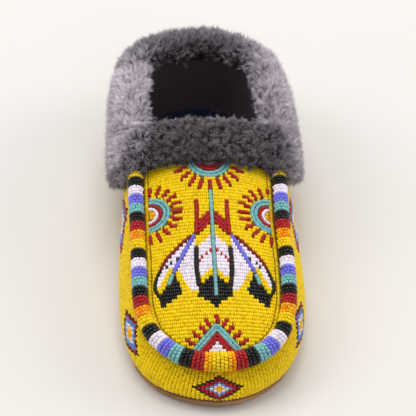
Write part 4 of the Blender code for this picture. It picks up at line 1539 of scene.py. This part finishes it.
def make_seam_cord():
    """A laid cord over the seam between the upper and the sole."""
    rows = np.linspace(0, TURN, CORD_SAMPLES, endpoint=False)
    lengths = lengths_along(wall(rows, 0.0))
    run = np.linspace(0, lengths[-1], CORD_RINGS, endpoint=False)
    evenly = np.interp(run, lengths, rows)
    level = unit(normal(evenly, 0.0) * [1, 1, 0])
    up = np.zeros_like(level) + [0, 0, 1]
    ply = np.abs(np.sin(np.pi * run / CORD_TWIST))
    swell = CORD_RADIUS * (CORD_SWELL[0] + CORD_SWELL[1] * ply)
    middle = wall(evenly, 0.0) + CORD_OUT * level + CORD_UP * up
    points, faces = tube(middle, level, up, swell, CORD_SEGMENTS, closed=True)
    waxed = cloth("waxed_cord", (0.10, 0.022, 0.010), (0.24, 0.060, 0.022), 1500.0, roughness=0.6)
    make_piece("seam_cord", points, faces, [waxed], None)


make_insole()
make_seam_cord()
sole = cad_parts["outsole"]
sole.data.materials.clear()
sole.data.materials.append(sole_leather())


# -------- floor, light and camera

PHOTO_CAMERA = (-62.5, -658.3, 610.2)
PHOTO_PITCH = 41.5  # degrees below the horizon
AIM = (0.0, 1.0, 30.0)
VIEW_ANGLE = 16.2  # degrees across the picture
SENSOR_WIDTH = 36.0
CLIPS = (0.01, 50.0)
FLOOR_HALF = 6.0  # metres

Softbox = namedtuple("Softbox", "name place target size power colour")
SOFTBOXES = (  # in metres and watts
    Softbox("softbox_above", (-0.2, 0.7, 2.4), (0, 0, 0), 1.8, 32.5, (1.0, 0.985, 0.96)),
    Softbox("softbox_behind", (0.2, 2.4, 1.2), (0, 0.03, 0.04), 1.4, 15.0, (1.0, 0.975, 0.94)),
    Softbox("softbox_left", (-2.0, 0.15, 2.0), (0, 0.03, 0.04), 1.5, 22.0, (1.0, 0.985, 0.965)),
    Softbox("softbox_right", (2.3, 0.25, 1.4), (0, 0.03, 0.04), 1.5, 20.5, (1.0, 0.985, 0.965)),
    Softbox("softbox_front", (0.5, -2.4, 2.0), (0, -0.05, 0.03), 1.6, 8.2, (1.0, 0.985, 0.965)),
)
WORLD_COLOUR, WORLD_STRENGTH = (0.975, 0.975, 1.0, 1), 0.37


def make_stage():
    mesh = bpy.data.meshes.new("floor")
    signs = (-1, -1), (1, -1), (1, 1), (-1, 1)
    mesh.from_pydata([(FLOOR_HALF * x, FLOOR_HALF * y, 0) for x, y in signs], [], [(0, 1, 2, 3)])
    made, nodes, links, shader = new_material("floor_paper", 0.9)
    stops = (0.3, (0.745, 0.72, 0.695)), (0.7, (0.765, 0.74, 0.715))
    colour_from(nodes, links, noise(nodes, links, 3.0).outputs["Fac"], stops, shader)
    mesh.materials.append(made)
    floor = bpy.data.objects.new("floor", mesh)
    bpy.context.scene.collection.objects.link(floor)


def make_softbox(box):
    lamp = bpy.data.lights.new(box.name, "AREA")
    lamp.shape = "SQUARE"
    lamp.size = box.size
    lamp.energy = box.power
    lamp.color = box.colour
    made = bpy.data.objects.new(box.name, lamp)
    made.location = box.place
    made.rotation_mode = "QUATERNION"
    made.rotation_quaternion = (Vector(box.target) - Vector(box.place)).to_track_quat("-Z", "Y")
    bpy.context.scene.collection.objects.link(made)


def make_light():
    world = bpy.data.worlds.new("studio")
    world.use_nodes = True
    background = world.node_tree.nodes["Background"]
    background.inputs["Color"].default_value = WORLD_COLOUR
    background.inputs["Strength"].default_value = WORLD_STRENGTH
    scene = bpy.context.scene
    scene.world = world
    for box in SOFTBOXES:
        make_softbox(box)
    scene.view_settings.view_transform = "Standard"
    scene.view_settings.look = "None"


def make_camera():
    """The photograph's own viewpoint, turned the shortest way to face the middle of the shoe."""
    place = Vector(PHOTO_CAMERA) * MM
    pitch = math.radians(PHOTO_PITCH)
    ahead = Vector((0, math.cos(pitch), -math.sin(pitch)))
    level = ahead.to_track_quat("-Z", "Y")
    to_shoe = (Vector(AIM) * MM - place).normalized()
    lens = bpy.data.cameras.new("camera")
    lens.sensor_width = SENSOR_WIDTH
    lens.lens = SENSOR_WIDTH / 2 / math.tan(math.radians(VIEW_ANGLE / 2))
    lens.clip_start, lens.clip_end = CLIPS
    camera = bpy.data.objects.new("camera", lens)
    camera.location = place
    camera.rotation_mode = "QUATERNION"
    camera.rotation_quaternion = ahead.rotation_difference(to_shoe) @ level
    bpy.context.scene.collection.objects.link(camera)
    bpy.context.scene.camera = camera


make_stage()
make_light()
make_camera()
